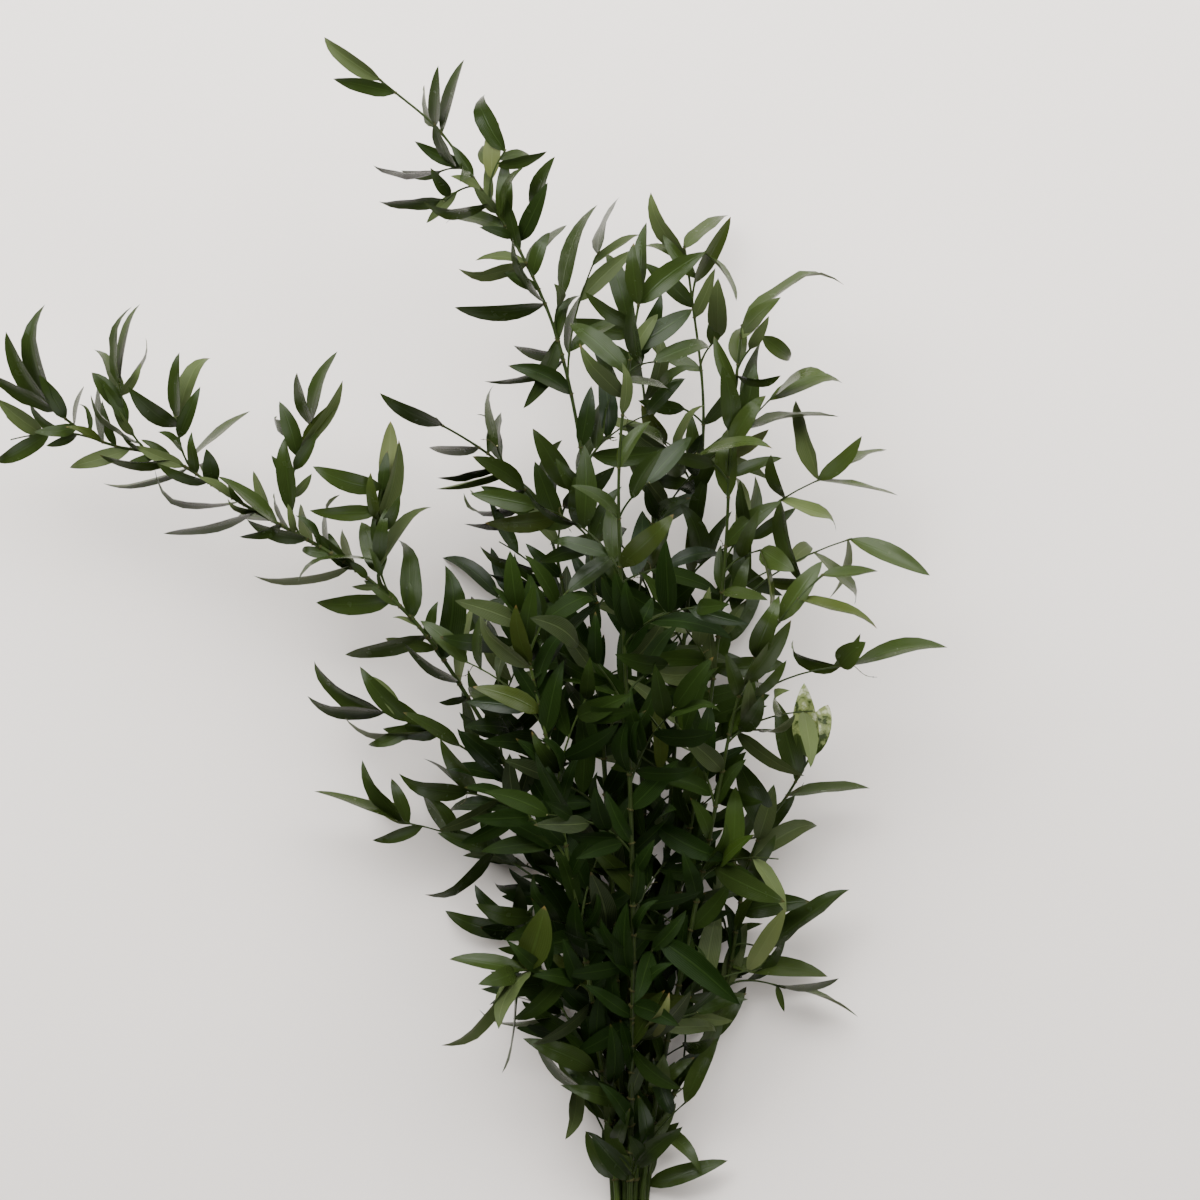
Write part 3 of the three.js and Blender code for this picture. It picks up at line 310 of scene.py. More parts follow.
# One row for each cut stem.
#   grip    where it lies in the grip: mm from the middle, and its row, counted from the table
#   route   gentle corners of its line above the grip: x, y and rise
#   shoots  side shoots: where each leaves the stem, where it ends, and its rise
#   leaves  outer leaves, root to tip as seen from above, and the breadth seen
#   rests   the same for leaves whose tips stand on the table, where there are any
#   inner   the stretch of the stem, from the cut end, that carries short inner twigs
#   crown   the length below the tip that carries leaves of its own, where it does
STEMS = [
    {
        "name": "stem_left_arch",
        "grip": [-11.2, 0],
        "route": [
            [-18, 123, 10], [-33, 197, 22], [-49, 256, 32], [-71, 316, 42], [-92, 361, 50],
            [-118, 405, 58], [-144, 445, 64], [-169, 470, 68], [-200, 494, 72], [-231, 511, 75],
            [-262, 528, 78], [-291, 545, 80], [-315, 563, 82], [-336, 570, 84], [-372, 574, 86],
            [-402, 599, 92],
        ],
        "shoots": [
            [-14, 78, -38, 123, 6], [-48, 253, -162, 310, 6], [-84, 326, -176, 388, 10],
            [-167, 468, -172, 549, 12], [-231, 511, -223, 589, 10], [-304, 557, -316, 594, 10],
            [-336, 570, -356, 617, 12], [-372, 574, -433, 578, -4],
        ],
        "leaves": [
            [-405, 610, -435, 653, 12], [-406, 617, -419, 670, 15], [-410, 576, -441, 606, 14],
            [-424, 603, -448, 623, 10], [-418, 598, -426, 617, 8], [-386, 592, -380, 615, 6],
            [-357, 606, -372, 646, 8], [-357, 620, -354, 672, 9], [-354, 618, -346, 675, 6],
            [-357, 610, -335, 649, 4], [-363, 585, -373, 618, 7], [-336, 578, -381, 608, 7],
            [-318, 587, -349, 613, 14], [-319, 596, -316, 639, 10], [-308, 589, -296, 642, 13],
            [-306, 563, -266, 599, 4], [-290, 550, -295, 571, 13], [-322, 550, -371, 566, 8],
            [-315, 549, -369, 543, 4], [-284, 516, -338, 542, 4], [-273, 507, -326, 512, 4],
            [-258, 508, -282, 526, 7], [-253, 508, -287, 553, 10], [-229, 578, -255, 592, 10],
            [-237, 528, -243, 580, 14], [-220, 594, -232, 624, 11], [-220, 594, -205, 640, 10],
            [-229, 568, -198, 618, 8], [-238, 515, -252, 541, 6], [-222, 505, -232, 534, 9],
            [-209, 501, -211, 542, 5], [-174, 545, -222, 559, 15], [-168, 526, -224, 527, 13],
            [-173, 550, -168, 592, 14], [-163, 517, -161, 578, 14], [-166, 491, -142, 536, 10],
            [-167, 487, -189, 522, 18], [-154, 452, -154, 513, 18], [-186, 494, -204, 517, 7],
            [-203, 477, -265, 480, 6], [-182, 491, -241, 489, 10], [-168, 466, -221, 464, 15],
            [-126, 428, -124, 491, 20], [-117, 409, -111, 463, 8], [-140, 442, -201, 426, 10],
            [-119, 409, -158, 435, 10], [-102, 405, -134, 394, 6], [-89, 333, -124, 376, 14],
            [-178, 391, -226, 421, 13], [-173, 385, -227, 392, 10], [-152, 388, -190, 418, 15],
            [-144, 363, -202, 377, 8], [-121, 361, -161, 389, 11], [-113, 337, -161, 337, 15],
            [-154, 330, -192, 349, 10], [-163, 312, -222, 332, 6],
            [-126, 291, -147, 328, 13], [-84, 309, -119, 295, 13], [-77, 302, -117, 324, 10],
            [-102, 274, -136, 251, 11], [-38, 127, -43, 87, 13], [-34, 111, -19, 86, 13],
            [-21, 116, -56, 137, 9],
        ],
        "rests": [[-154, 312, -186, 326, 12]],
        "inner": [300, 470],
    },
    {
        "name": "stem_top_left",
        "grip": [-2.8, 1],
        "route": [
            [-6, 130, 20], [-10, 214, 44], [-15, 305, 68], [-21, 396, 90], [-25, 466, 104],
            [-29, 536, 114], [-37, 592, 120], [-48, 641, 124], [-59, 673, 126], [-80, 716, 128],
            [-100, 746, 128], [-114, 766, 127], [-132, 794, 125], [-162, 817, 122], [-175, 828, 120],
        ],
        "shoots": [
            [-112, 764, -133, 763, -8], [-104, 752, -129, 742, 8], [-98, 741, -86, 778, 10],
            [-77, 708, -67, 735, -8], [-52, 652, -47, 676, 12], [-41, 620, -22, 707, 8],
        ],
        "leaves": [
            [-177, 830, -216, 857, 12], [-165, 815, -207, 828, 12], [-133, 795, -144, 825, 7],
            [-130, 799, -133, 835, 10], [-128, 792, -115, 840, 10], [-121, 767, -136, 795, 7],
            [-136, 753, -178, 764, 6], [-133, 766, -160, 765, 6], [-120, 739, -138, 764, 10],
            [-130, 741, -175, 741, 10], [-118, 767, -117, 745, 8], [-104, 736, -139, 733, 7],
            [-92, 720, -132, 735, 14], [-85, 780, -108, 821, 14], [-93, 766, -106, 783, 11],
            [-87, 769, -67, 775, 8], [-93, 731, -78, 765, 8], [-91, 732, -100, 760, 10],
            [-68, 736, -54, 772, 14], [-78, 715, -56, 757, 14], [-66, 703, -44, 728, 8],
            [-74, 697, -117, 687, 10], [-59, 671, -122, 668, 10], [-57, 673, -83, 715, 8],
            [-49, 676, -26, 741, 13], [-21, 696, 7, 722, 8], [-23, 711, -8, 748, 7],
            [-49, 636, -82, 643, 8], [-49, 631, -102, 617, 7], [-66, 641, -74, 596, 15],
            [-44, 638, -4, 662, 10],
        ],
        "inner": [300, 680],
    },
    {
        "name": "stem_left_front",
        "grip": [-8.4, 1],
        "route": [
            [-17, 116, 24], [-24, 165, 44], [-31, 218, 64], [-41, 270, 84], [-50, 326, 102],
            [-59, 375, 116], [-70, 423, 128], [-78, 459, 134],
        ],
        "shoots": [
            [-17, 104, -83, 231, -22],
        ],
        "leaves": [
            [-83, 227, -132, 244, 14], [-73, 197, -126, 218, 11], [-82, 234, -77, 277, 15],
            [-72, 206, -59, 253, 24], [-77, 183, -99, 190, 17], [-91, 178, -125, 150, 10],
            [-59, 167, -108, 169, 6], [-88, 176, -88, 135, 4], [-21, 184, -56, 186, 10],
            [-21, 184, -68, 155, 11], [-70, 410, -21, 466, 14],
        ],
        "inner": [230, 540],
        "crown": 90,
    },
    {
        "name": "stem_left_back",
        "grip": [-5.6, 0],
        "route": [
            [-13, 123, 6], [-22, 186, 12], [-28, 256, 20], [-34, 326, 28], [-38, 396, 36],
            [-43, 452, 44], [-50, 494, 50], [-61, 528, 56], [-76, 547, 60], [-92, 564, 64],
            [-118, 581, 68], [-133, 589, 70],
        ],
        "shoots": [
            [-42, 463, -92, 507, 10], [-54, 512, -77, 536, 8], [-85, 557, -93, 574, 10],
            [-39, 396, -93, 437, 12], [-54, 508, -61, 538, -8], [-38, 392, -66, 452, -26],
        ],
        "leaves": [
            [-133, 592, -175, 608, 10], [-105, 574, -142, 573, 6], [-91, 562, -135, 551, 7],
            [-90, 552, -136, 543, 7], [-76, 542, -115, 538, 6], [-76, 533, -121, 530, 6],
            [-69, 521, -117, 519, 6], [-62, 487, -106, 499, 7], [-57, 477, -99, 484, 6],
            [-45, 468, -84, 472, 6], [-97, 573, -101, 618, 8], [-89, 564, -91, 599, 7],
            [-94, 438, -113, 469, 10], [-63, 536, -49, 578, 10],
        ],
        "rests": [[-66, 452, -92, 490, 14]],
        "inner": [175, 590],
    },
    {
        "name": "stem_centre_front",
        "grip": [0, 2],
        "route": [
            [1, 130, 34], [3, 214, 68], [1, 305, 98], [-2, 396, 122], [-6, 466, 138], [-9, 536, 150],
            [-7, 585, 156], [-1, 627, 160], [4, 662, 162], [8, 682, 162],
        ],
        "shoots": [
            [-2, 622, 18, 630, 6], [-9, 522, 13, 547, 8], [-4, 400, 27, 421, -8], [2, 185, 22, 232, 8],
        ],
        "leaves": [
            [-13, 606, -26, 652, 10], [-14, 606, -36, 636, 13], [16, 629, 60, 647, 11],
            [7, 627, 0, 669, 11], [0, 617, 29, 612, 7], [10, 547, 43, 580, 14],
            [27, 421, -10, 428, 14], [-2, 182, 34, 169, 15], [22, 228, 77, 183, 20],
            [16, 219, 5, 186, 14], [-2, 170, -40, 146, 14], [2, 150, 36, 124, 13],
        ],
        "inner": [135, 590],
        "crown": 60,
    },
    {
        "name": "stem_back_right",
        "grip": [5.6, 0],
        "route": [
            [13, 130, 5], [21, 221, 12], [28, 312, 20], [34, 396, 27], [41, 466, 33], [49, 536, 38],
            [53, 592, 42], [50, 634, 45], [44, 673, 48], [41, 699, 50], [38, 715, 50],
        ],
        "shoots": [
            [43, 676, 53, 711, 8], [51, 631, 63, 651, 8], [51, 550, 24, 578, -6], [52, 589, 18, 605, 8],
            [34, 392, 68, 436, -18],
        ],
        "leaves": [
            [34, 706, 12, 751, 10], [40, 716, 70, 741, 11], [45, 689, 71, 735, 10],
            [53, 714, 75, 675, 6], [38, 671, 8, 704, 13], [62, 650, 61, 690, 14],
            [24, 580, 8, 603, 15], [18, 603, 37, 633, 10],
        ],
        "rests": [[68, 436, 94, 474, 14]],
        "inner": [165, 640],
    },
    {
        "name": "stem_right_top",
        "grip": [2.8, 1],
        "route": [
            [12, 130, 20], [27, 221, 38], [42, 305, 54], [55, 382, 68], [63, 452, 80], [68, 515, 90],
            [69, 564, 96], [72, 606, 100], [76, 638, 102], [78, 658, 103],
        ],
        "shoots": [
            [69, 563, 102, 610, -8], [76, 626, 93, 650, 8], [67, 494, 142, 554, -8],
            [69, 547, 46, 568, 8], [62, 444, 155, 509, 10], [66, 484, 92, 501, 12],
        ],
        "leaves": [
            [93, 650, 115, 633, 13], [85, 587, 90, 648, 13], [97, 606, 149, 626, 11],
            [97, 612, 134, 627, 6], [85, 581, 146, 595, 8], [78, 622, 104, 620, 7],
            [141, 554, 181, 572, 7], [133, 548, 114, 606, 11], [133, 547, 188, 540, 4],
            [74, 582, 64, 629, 15], [46, 569, 97, 577, 8], [70, 552, 107, 566, 10],
            [112, 529, 97, 566, 8], [86, 510, 76, 549, 10], [112, 526, 151, 522, 11],
            [110, 526, 122, 475, 13], [97, 505, 114, 486, 17], [91, 500, 99, 449, 8],
            [50, 473, 96, 466, 10], [74, 662, 142, 704, 10], [83, 650, 104, 676, 13],
            [64, 631, 79, 664, 15], [155, 508, 209, 483, 14], [153, 505, 141, 466, 4],
            [130, 494, 166, 465, 7],
        ],
        "inner": [150, 600],
    },
    {
        "name": "stem_right_mid",
        "grip": [8.4, 1],
        "route": [
            [20, 123, 22], [35, 200, 46], [50, 270, 68], [62, 333, 86], [71, 386, 100],
            [81, 416, 108], [98, 445, 114], [117, 468, 118], [134, 484, 120],
        ],
        "shoots": [
            [72, 388, 156, 421, 10], [78, 403, 83, 410, 6],
        ],
        "leaves": [
            [150, 486, 173, 487, 10], [118, 466, 173, 451, 10], [80, 407, 113, 454, 14],
            [146, 414, 106, 433, 8], [146, 416, 163, 437, 18], [158, 428, 220, 435, 11],
            [64, 403, 102, 412, 10],
        ],
        "inner": [165, 480],
    },
    {
        "name": "stem_right_low",
        "grip": [11.2, 0],
        "route": [
            [22, 101, 4], [38, 129, 9], [53, 155, 14], [69, 190, 20], [76, 241, 28], [81, 274, 34],
            [92, 304, 40], [109, 325, 46], [119, 343, 50], [127, 356, 52],
        ],
        "shoots": [
            [74, 221, 97, 218, -8], [69, 192, 110, 192, 6],
        ],
        "leaves": [
            [111, 328, 170, 335, 8], [91, 281, 135, 312, 15], [98, 305, 74, 354, 21],
            [95, 219, 154, 264, 15], [77, 246, 127, 254, 17], [74, 207, 142, 202, 13],
            [102, 193, 147, 200, 6], [108, 192, 162, 172, 4], [80, 262, 49, 297, 8],
            [18, 95, 51, 66, 11], [20, 81, 28, 44, 15], [118, 343, 103, 396, 18],
            [125, 360, 122, 408, 21], [127, 356, 141, 395, 20], [14, 52, 70, 71, 15],
        ],
        "inner": [205, 400],
    },
    {
        "name": "stem_centre_back",
        "grip": [0, 0],
        "route": [
            [-1, 95, 0], [-1, 151, 5], [3, 221, 11], [10, 305, 18], [15, 396, 25], [18, 466, 31],
            [16, 536, 36], [13, 592, 40], [6, 640, 44], [-2, 664, 46],
        ],
        "inner": [140, 640],
        "crown": 60,
    },
]

seed = SEED


def draw():
    """The next of the seeded numbers from 0 to 1 that place the solids (Park and Miller's rule)."""
    global seed
    seed = (seed * DRAW_FACTOR) % DRAW_RANGE
    return seed / DRAW_RANGE


def either_side():
    return -1 if draw() < 0.5 else 1


def between(low, high, source=draw):
    return low + (high - low) * source()


# Points and directions are plain tuples in full precision, so the draws fall as they do in CAD.
def plus(a, b, times=1.0):
    return (a[0] + b[0] * times, a[1] + b[1] * times, a[2] + b[2] * times)


def minus(a, b):
    return (a[0] - b[0], a[1] - b[1], a[2] - b[2])


def scaled(a, times):
    return (a[0] * times, a[1] * times, a[2] * times)


def cross(a, b):
    return (
        a[1] * b[2] - a[2] * b[1],
        a[2] * b[0] - a[0] * b[2],
        a[0] * b[1] - a[1] * b[0],
    )


def length_of(a):
    return math.sqrt(a[0] * a[0] + a[1] * a[1] + a[2] * a[2])


def unit(a):
    return scaled(a, 1 / length_of(a))


def route_line(corners):
    """The line of a route: a uniform cubic B-spline, cut into short chords."""
    start = minus(scaled(corners[0], 2), corners[1])
    end = minus(scaled(corners[-1], 2), corners[-2])
    around = [start, *corners, end]
    line = []
    for i in range(len(corners) - 1):
        for k in range(CHORDS_PER_CORNER):
            t = k / CHORDS_PER_CORNER
            weights = (
                (1 - t) ** 3,
                3 * t**3 - 6 * t**2 + 4,
                3 * (t + t * t - t**3) + 1,
                t**3,
            )
            point = (0.0, 0.0, 0.0)
            for n, weight in enumerate(weights):
                point = plus(point, around[i + n], weight / 6)
            line.append(point)
    line.append(corners[-1])
    return line


def shoot_line(start, heading, end):
    """The line of a side shoot: it leaves along its stem and curves out to its end."""
    way = minus(end, start)
    reach = length_of(way)
    bend = plus(start, plus(heading, scaled(way, 1 / reach)), SHOOT_BEND * reach)
    line = []
    for k in range(SHOOT_CHORDS + 1):
        t = k / SHOOT_CHORDS
        point = scaled(start, (1 - t) ** 2)
        point = plus(point, bend, 2 * (1 - t) * t)
        line.append(plus(point, end, t * t))
    return line


class Limb:
    """A stem or a shoot: the straight chords that its solid follows, and its radii."""

    def __init__(self, line, start_radius=0.0, end_radius=0.0, taper_from=0.0):
        self.line = line
        self.reach = [0.0]
        for a, b in zip(line, line[1:]):
            self.reach.append(self.reach[-1] + length_of(minus(b, a)))
        self.length = self.reach[-1]
        self.start_radius = start_radius
        self.end_radius = end_radius
        self.taper_from = taper_from
        self.curve = None
        self.start = None

    def chord_at(self, distance):
        """The number of the chord at a distance, and how far along that chord it is."""
        i = 1
        while i < len(self.line) - 1 and self.reach[i] < distance:
            i += 1
        return i, (distance - self.reach[i - 1]) / (self.reach[i] - self.reach[i - 1])

    def along(self, distance):
        """The point and the heading at a distance along the chords."""
        i, share = self.chord_at(distance)
        way = minus(self.line[i], self.line[i - 1])
        return plus(self.line[i - 1], way, share), unit(way)

    def radius(self, distance):
        share = (distance - self.taper_from) / (self.length - self.taper_from)
        return self.start_radius + (self.end_radius - self.start_radius) * max(0.0, share)

    def smooth(self, distance):
        """The point of the fine curve beside a distance along the chords.

        Near its start a shoot's curve is moved, so that it leaves from its stem's fine curve.
        """
        i, share = self.chord_at(distance)
        rings = len(self.line) - 1
        point = self.curve.along(self.curve.length * (i - 1 + share) / rings)[0]
        if self.start and distance < SEAT_FADE:
            seat = minus(smooth_root(self.start), self.line[0])
            point = plus(point, seat, 1 - distance / SEAT_FADE)
        return point


def make_limb(smooth_line, ring_gap, start_radius, end_radius, taper_from):
    """A limb whose chords run from ring to ring along a smooth line."""
    curve = Limb(smooth_line)
    rings = max(2, math.floor(curve.length / ring_gap + 0.5))
    line = [curve.along(curve.length * i / rings)[0] for i in range(rings + 1)]
    limb = Limb(line, start_radius, end_radius, taper_from)
    limb.curve = curve
    return limb


def root_at(limb, distance):
    """A place on a limb that something can grow from."""
    point, heading = limb.along(distance)
    return {"limb": limb, "distance": distance, "point": point, "heading": heading}


def smooth_root(place):
    """The point beside such a place on the fine wood."""
    return place["limb"].smooth(place["distance"])


def nearest_wood(limbs, x, y):
    """The place on any of the limbs that is nearest to a point, seen from above."""
    best_gap, best = math.inf, None
    for limb in limbs:
        distance = 0
        while distance < limb.length - SHOOT_RADIUS:
            point, _ = limb.along(distance)
            gap = math.hypot(point[0] - x, point[1] - y)
            if gap < best_gap:
                best_gap, best = gap, (limb, distance)
            distance += ROOT_STEP
    return root_at(*best)


def slide_root(place, step):
    """The same root, moved along its limb."""
    limb = place["limb"]
    return root_at(limb, min(max(place["distance"] + step, 0), limb.length - SHOOT_RADIUS))


def outline(share, shoulder=SHOULDER, taper=TAPER):
    """A blade's half breadth along it, as a share of the most."""
    peak = shoulder / (shoulder + taper)
    most = peak**shoulder * (1 - peak) ** taper
    return share**shoulder * (1 - share) ** taper / most


def blade_frame(leaf, share):
    """The rib's point at a share of a blade, the way to its edge and the way its face looks."""
    swing = leaf["curl"] * (share - 0.5)
    radius = leaf["arc"] / leaf["curl"]
    forward = radius * (math.sin(swing) + math.sin(leaf["curl"] / 2))
    outward = radius * (math.cos(swing) - math.cos(leaf["curl"] / 2))
    rib = plus(plus(leaf["root"], leaf["chord"], forward), leaf["face"], outward)
    level = plus(scaled(leaf["face"], math.cos(swing)), leaf["chord"], math.sin(swing))
    side = cross(leaf["face"], leaf["chord"])
    turn = leaf["twist"] * share
    edge = plus(scaled(side, math.cos(turn)), level, math.sin(turn))
    over = plus(scaled(level, math.cos(turn)), side, -math.sin(turn))
    return rib, edge, over


def free_blade(leaf, share, across):
    """A point of a solid's free blade, and the way its face looks."""
    rib, edge, over = blade_frame(leaf, share)
    breadth = leaf["breadth"] * outline(share)
    point = plus(rib, edge, across * breadth * math.cos(leaf["fold"]))
    return plus(point, over, abs(across) * breadth * math.sin(leaf["fold"])), over


def on_blade(leaf, share, across):
    """The same point as the table holds it up."""
    (x, y, z), _ = free_blade(leaf, share, across)
    return (x, y, max(z, 0 if share == 1 else BLADE_THICKNESS))


# What is already in place, in cubes a little wider than the widest gap
CUBE = 5.0
taken = {}


def cube_of(point):
    return tuple(math.floor(c / CUBE) for c in point)


def clear(points, limb, gaps):
    """Whether points keep their gaps to all that is in place: on other limbs, and on their own."""
    gap, own_gap = gaps
    for point in points:
        i, j, k = cube_of(point)
        for a in (i - 1, i, i + 1):
            for b in (j - 1, j, j + 1):
                for c in (k - 1, k, k + 1):
                    for spot, owner in taken.get((a, b, c), ()):
                        room = own_gap if owner is limb else gap
                        dx, dy, dz = minus(point, spot)
                        if dx * dx + dy * dy + dz * dz < room * room:
                            return False
    return True


def take(points, limb):
    for point in points:
        taken.setdefault(cube_of(point), []).append((point, limb))


def wood_samples(limb, start):
    points = []
    distance = start
    while distance <= limb.length:
        points.append(limb.along(distance)[0])
        distance += WOOD_SAMPLE
    return points


def blade_samples(leaf):
    points = [on_blade(leaf, 1, 0)]
    for share in BLADE_SAMPLES:
        points += [on_blade(leaf, share, across) for across in EDGES_AND_RIB]
    return points


def fits_table(leaf):
    """A blade may press a little on the table where it lies flat, and stays clear elsewhere."""
    lowest, steepest = math.inf, 1.0
    for share in TABLE_SAMPLES:
        for across in EDGES_AND_RIB:
            point, over = free_blade(leaf, share, across)
            lowest = min(lowest, point[2])
            steepest = min(steepest, abs(over[2]))
    if lowest > BLADE_THICKNESS:
        return True
    return lowest > -MOST_PRESS and steepest > LEAST_FLAT


def arc_of(full, curl):
    """The length along a blade of a given length from root to tip and a given curl."""
    return full * curl / (2 * math.sin(curl / 2))


def blade_size(full, breadth, curl, fold, twist):
    """A blade's own measures; its breadth is counted from the rib to one edge."""
    return {"arc": arc_of(full, curl), "breadth": breadth, "curl": curl, "fold": fold, "twist": twist}


def make_leaf(place, plan, rise, roll, size):
    """A leaf from its root, its heading seen from above, its rise, roll and size."""
    chord = (plan[0] * math.cos(rise), plan[1] * math.cos(rise), math.sin(rise))
    left = unit(cross(UP, chord))
    over = cross(chord, left)
    face = plus(scaled(over, math.cos(roll)), left, math.sin(roll))
    limb, distance = place["limb"], place["distance"]
    root = plus(place["point"], chord, -ROOT_SINK * limb.radius(distance))
    return {"root": root, "chord": chord, "face": face, "place": place, "scar": 0.0, **size}


def place_leaf(stem, limb, tries, pose, gaps=LEAF_GAPS):
    """Tries poses of one leaf until it is clear of all that is in place."""
    for attempt in range(tries):
        leaf = pose(attempt)
        if leaf is None:
            continue
        points = blade_samples(leaf)
        if clear(points, limb, gaps):
            take(points, limb)
            stem["blades"].append(leaf)
            return


def plan_to(place, x, y):
    """The heading seen from above, and the length seen, from a root to a tip."""
    way = (x - place["point"][0], y - place["point"][1], 0.0)
    seen = length_of(way)
    return scaled(way, 1 / seen), seen


def outer_leaf(stem, row):
    """An outer leaf, from the root, tip and breadth that are seen from above."""
    x0, y0, x1, y1, seen_breadth = row
    place = nearest_wood(stem["limbs"], x0, y0)
    plan, seen = plan_to(place, x1, y1)
    full = max(seen * LEAST_HIDDEN, min(between(*LEAF_LENGTH), seen * MOST_HIDDEN))
    breadth = max(seen_breadth, 2 * full * between(*LEAF_SLIMNESS)) / 2
    rise = math.acos(seen / full)
    roll = math.acos(min(1, seen_breadth / (2 * breadth)))
    curl = between(*OUTER_CURL)
    fold = between(*FOLD)
    twist = between(*TWIST)
    first = either_side()
    size = blade_size(full, breadth, curl, fold, twist)
    size["scar"] = 1.0 if (x1, y1) in SCARRED_TIPS else 0.0

    def pose(attempt):
        slide, steps, rolls, rises = OUTER_POSES[attempt]
        more = POSE_STEP * steps
        spot = slide_root(place, slide)
        leaf = make_leaf(spot, plan, first * rises * (rise + more), rolls * (roll + more), size)
        return leaf if fits_table(leaf) else None

    place_leaf(stem, place["limb"], len(OUTER_POSES), pose)


def resting_leaf(stem, row):
    """A leaf that stands on the table with its tip."""
    x0, y0, x1, y1, breadth = row
    place = nearest_wood(stem["limbs"], x0, y0)
    plan, seen = plan_to(place, x1, y1)
    height = place["point"][2]
    size = blade_size(math.hypot(seen, height), breadth / 2, INNER_CURL[0], FOLD[0], 0.0)
    leaf = make_leaf(place, plan, -math.atan2(height, seen), 0.0, size)
    place_leaf(stem, place["limb"], 1, lambda attempt: leaf)


def depth_in_spread(point):
    """How far a place is inside the outline of the dense part of the bunch, seen from above."""
    x, y, _ = point
    for (y0, left0, right0), (y1, left1, right1) in zip(SPREAD, SPREAD[1:]):
        if y0 <= y < y1:
            share = (y - y0) / (y1 - y0)
            left = left0 + (left1 - left0) * share
            right = right0 + (right1 - right0) * share
            return min(x - left, right - x)
    return -1.0


def in_spread(point):
    return depth_in_spread(point) > 0


def node_leaf(stem, limb, distance, side, scale, rule=GROWN, source=draw, fits=in_spread):
    """A leaf placed by rule at a node: alternate sides, swept forward along its limb."""
    place = root_at(limb, distance)
    level = math.atan2(place["heading"][1], place["heading"][0])
    climb = math.asin(place["heading"][2])

    def pose(attempt):
        loose = 1 + attempt * LOOSER
        full = between(*LEAF_LENGTH, source) * scale
        breadth = full * between(*LEAF_SLIMNESS, source)
        turn = side * between(*rule["turns"], source) + between(*LEAF_SWAY, source) * loose
        plan = (math.cos(level + turn), math.sin(level + turn), 0.0)
        rise = climb * math.cos(turn) + between(*LEAF_RISE, source) * loose
        roll = between(*LEAF_ROLL, source) * loose
        curl = between(*INNER_CURL, source)
        fold = between(*FOLD, source)
        twist = between(*TWIST, source)
        size = blade_size(full, breadth, curl, fold, twist)
        leaf = make_leaf(place, plan, min(STEEPEST_RISE, rise), roll, size)
        return leaf if fits_table(leaf) and fits(on_blade(leaf, 1, 0)) else None

    place_leaf(stem, limb, rule["tries"], pose, rule["gaps"])


def leafy_stretch(stem, limb, start):
    """Leaves on alternate sides from a distance along a limb to its end, and one at its end."""
    side = either_side()
    distance = start
    while distance < limb.length - LAST_LEAF:
        node_leaf(stem, limb, distance, side, 1)
        side = -side
        distance += LEAF_SPACING
    node_leaf(stem, limb, limb.length - END_LEAF_INSET, 0, END_LEAF_SCALE)


def add_shoot(stem, start, end):
    """Adds a shoot or a twig to a stem, if the way to its end is clear."""
    line = shoot_line(start["point"], start["heading"], end)
    limb = make_limb(line, SHOOT_RING_GAP, SHOOT_RADIUS, SHOOT_TIP_RADIUS, 0)
    if not clear(wood_samples(limb, SHOOT_CLEAR_FROM), stem["limbs"][0], SHOOT_GAPS):
        return None
    take(wood_samples(limb, SHOOT_TAKEN_FROM), limb)
    limb.start = start
    stem["limbs"].append(limb)
    return limb


def outer_shoot(stem, row):
    """A side shoot that is given: its rise changes a little where the way is not clear."""
    x0, y0, x1, y1, rise = row
    start = nearest_wood(stem["limbs"][:1], x0, y0)
    for more in RISE_CHANGES:
        end = (x1, y1, max(LOWEST_SHOOT_END, start["point"][2] + rise + more))
        if add_shoot(stem, start, end):
            return


def inner_twigs(stem, low, high):
    """Short twigs on alternate sides, one every few centimetres."""
    trunk = stem["limbs"][0]
    twigs = []
    side = either_side()
    distance = low
    while distance < min(high, trunk.length):
        start = root_at(trunk, distance)
        level = math.atan2(start["heading"][1], start["heading"][0])
        side = -side
        for _ in range(TRIES):
            angle = level + side * between(*TWIG_TURN)
            reach = between(*TWIG_LENGTH)
            rise = between(*TWIG_RISE) * reach
            x, y, z = plus(start["point"], (math.cos(angle) * reach, math.sin(angle) * reach, rise))
            end = (x, y, max(z, LOWEST_SHOOT_END))
            limb = add_shoot(stem, start, end) if in_spread(end) else None
            if limb:
                twigs.append(limb)
                break
        distance += TWIG_SPACING
    return twigs


def trunk_of(plan):
    """A stem, from its cut end straight through the grip and on along its route."""
    x, row = plan["grip"]
    height = STEM_RADIUS * math.cos(math.pi / STEM_SIDES) + row * ROW_RISE
    corners = []
    for i in range(GRIP_CORNERS):
        corners.append((x, CUT_END_Y + (GRIP_TOP_Y - CUT_END_Y) * i / (GRIP_CORNERS - 1), height))
    corners += [(route_x, y, height + rise) for route_x, y, rise in plan["route"]]
    taper_from = GRIP_TOP_Y - CUT_END_Y
    return make_limb(route_line(corners), STEM_RING_GAP, STEM_RADIUS, STEM_TIP_RADIUS, taper_from)


def grow():
    """Places every stem, shoot and leaf, in the order in which the solids are placed."""
    stems = [{"plan": plan, "limbs": [trunk_of(plan)], "blades": [], "spurs": []} for plan in STEMS]
    for stem in stems:
        take(wood_samples(stem["limbs"][0], 0), stem["limbs"][0])
    for stem in stems:
        for row in stem["plan"].get("shoots", []):
            outer_shoot(stem, row)
    for stem in stems:
        for row in stem["plan"].get("rests", []):
            resting_leaf(stem, row)
    for stem in stems:
        stem["twigs"] = inner_twigs(stem, *stem["plan"]["inner"])
    for stem in stems:
        for row in stem["plan"].get("leaves", []):
            outer_leaf(stem, row)
    for stem in stems:
        trunk = stem["limbs"][0]
        if "crown" in stem["plan"]:
            leafy_stretch(stem, trunk, trunk.length - stem["plan"]["crown"])
        for twig in stem["twigs"]:
            leafy_stretch(stem, twig, FIRST_LEAF)
    return stems


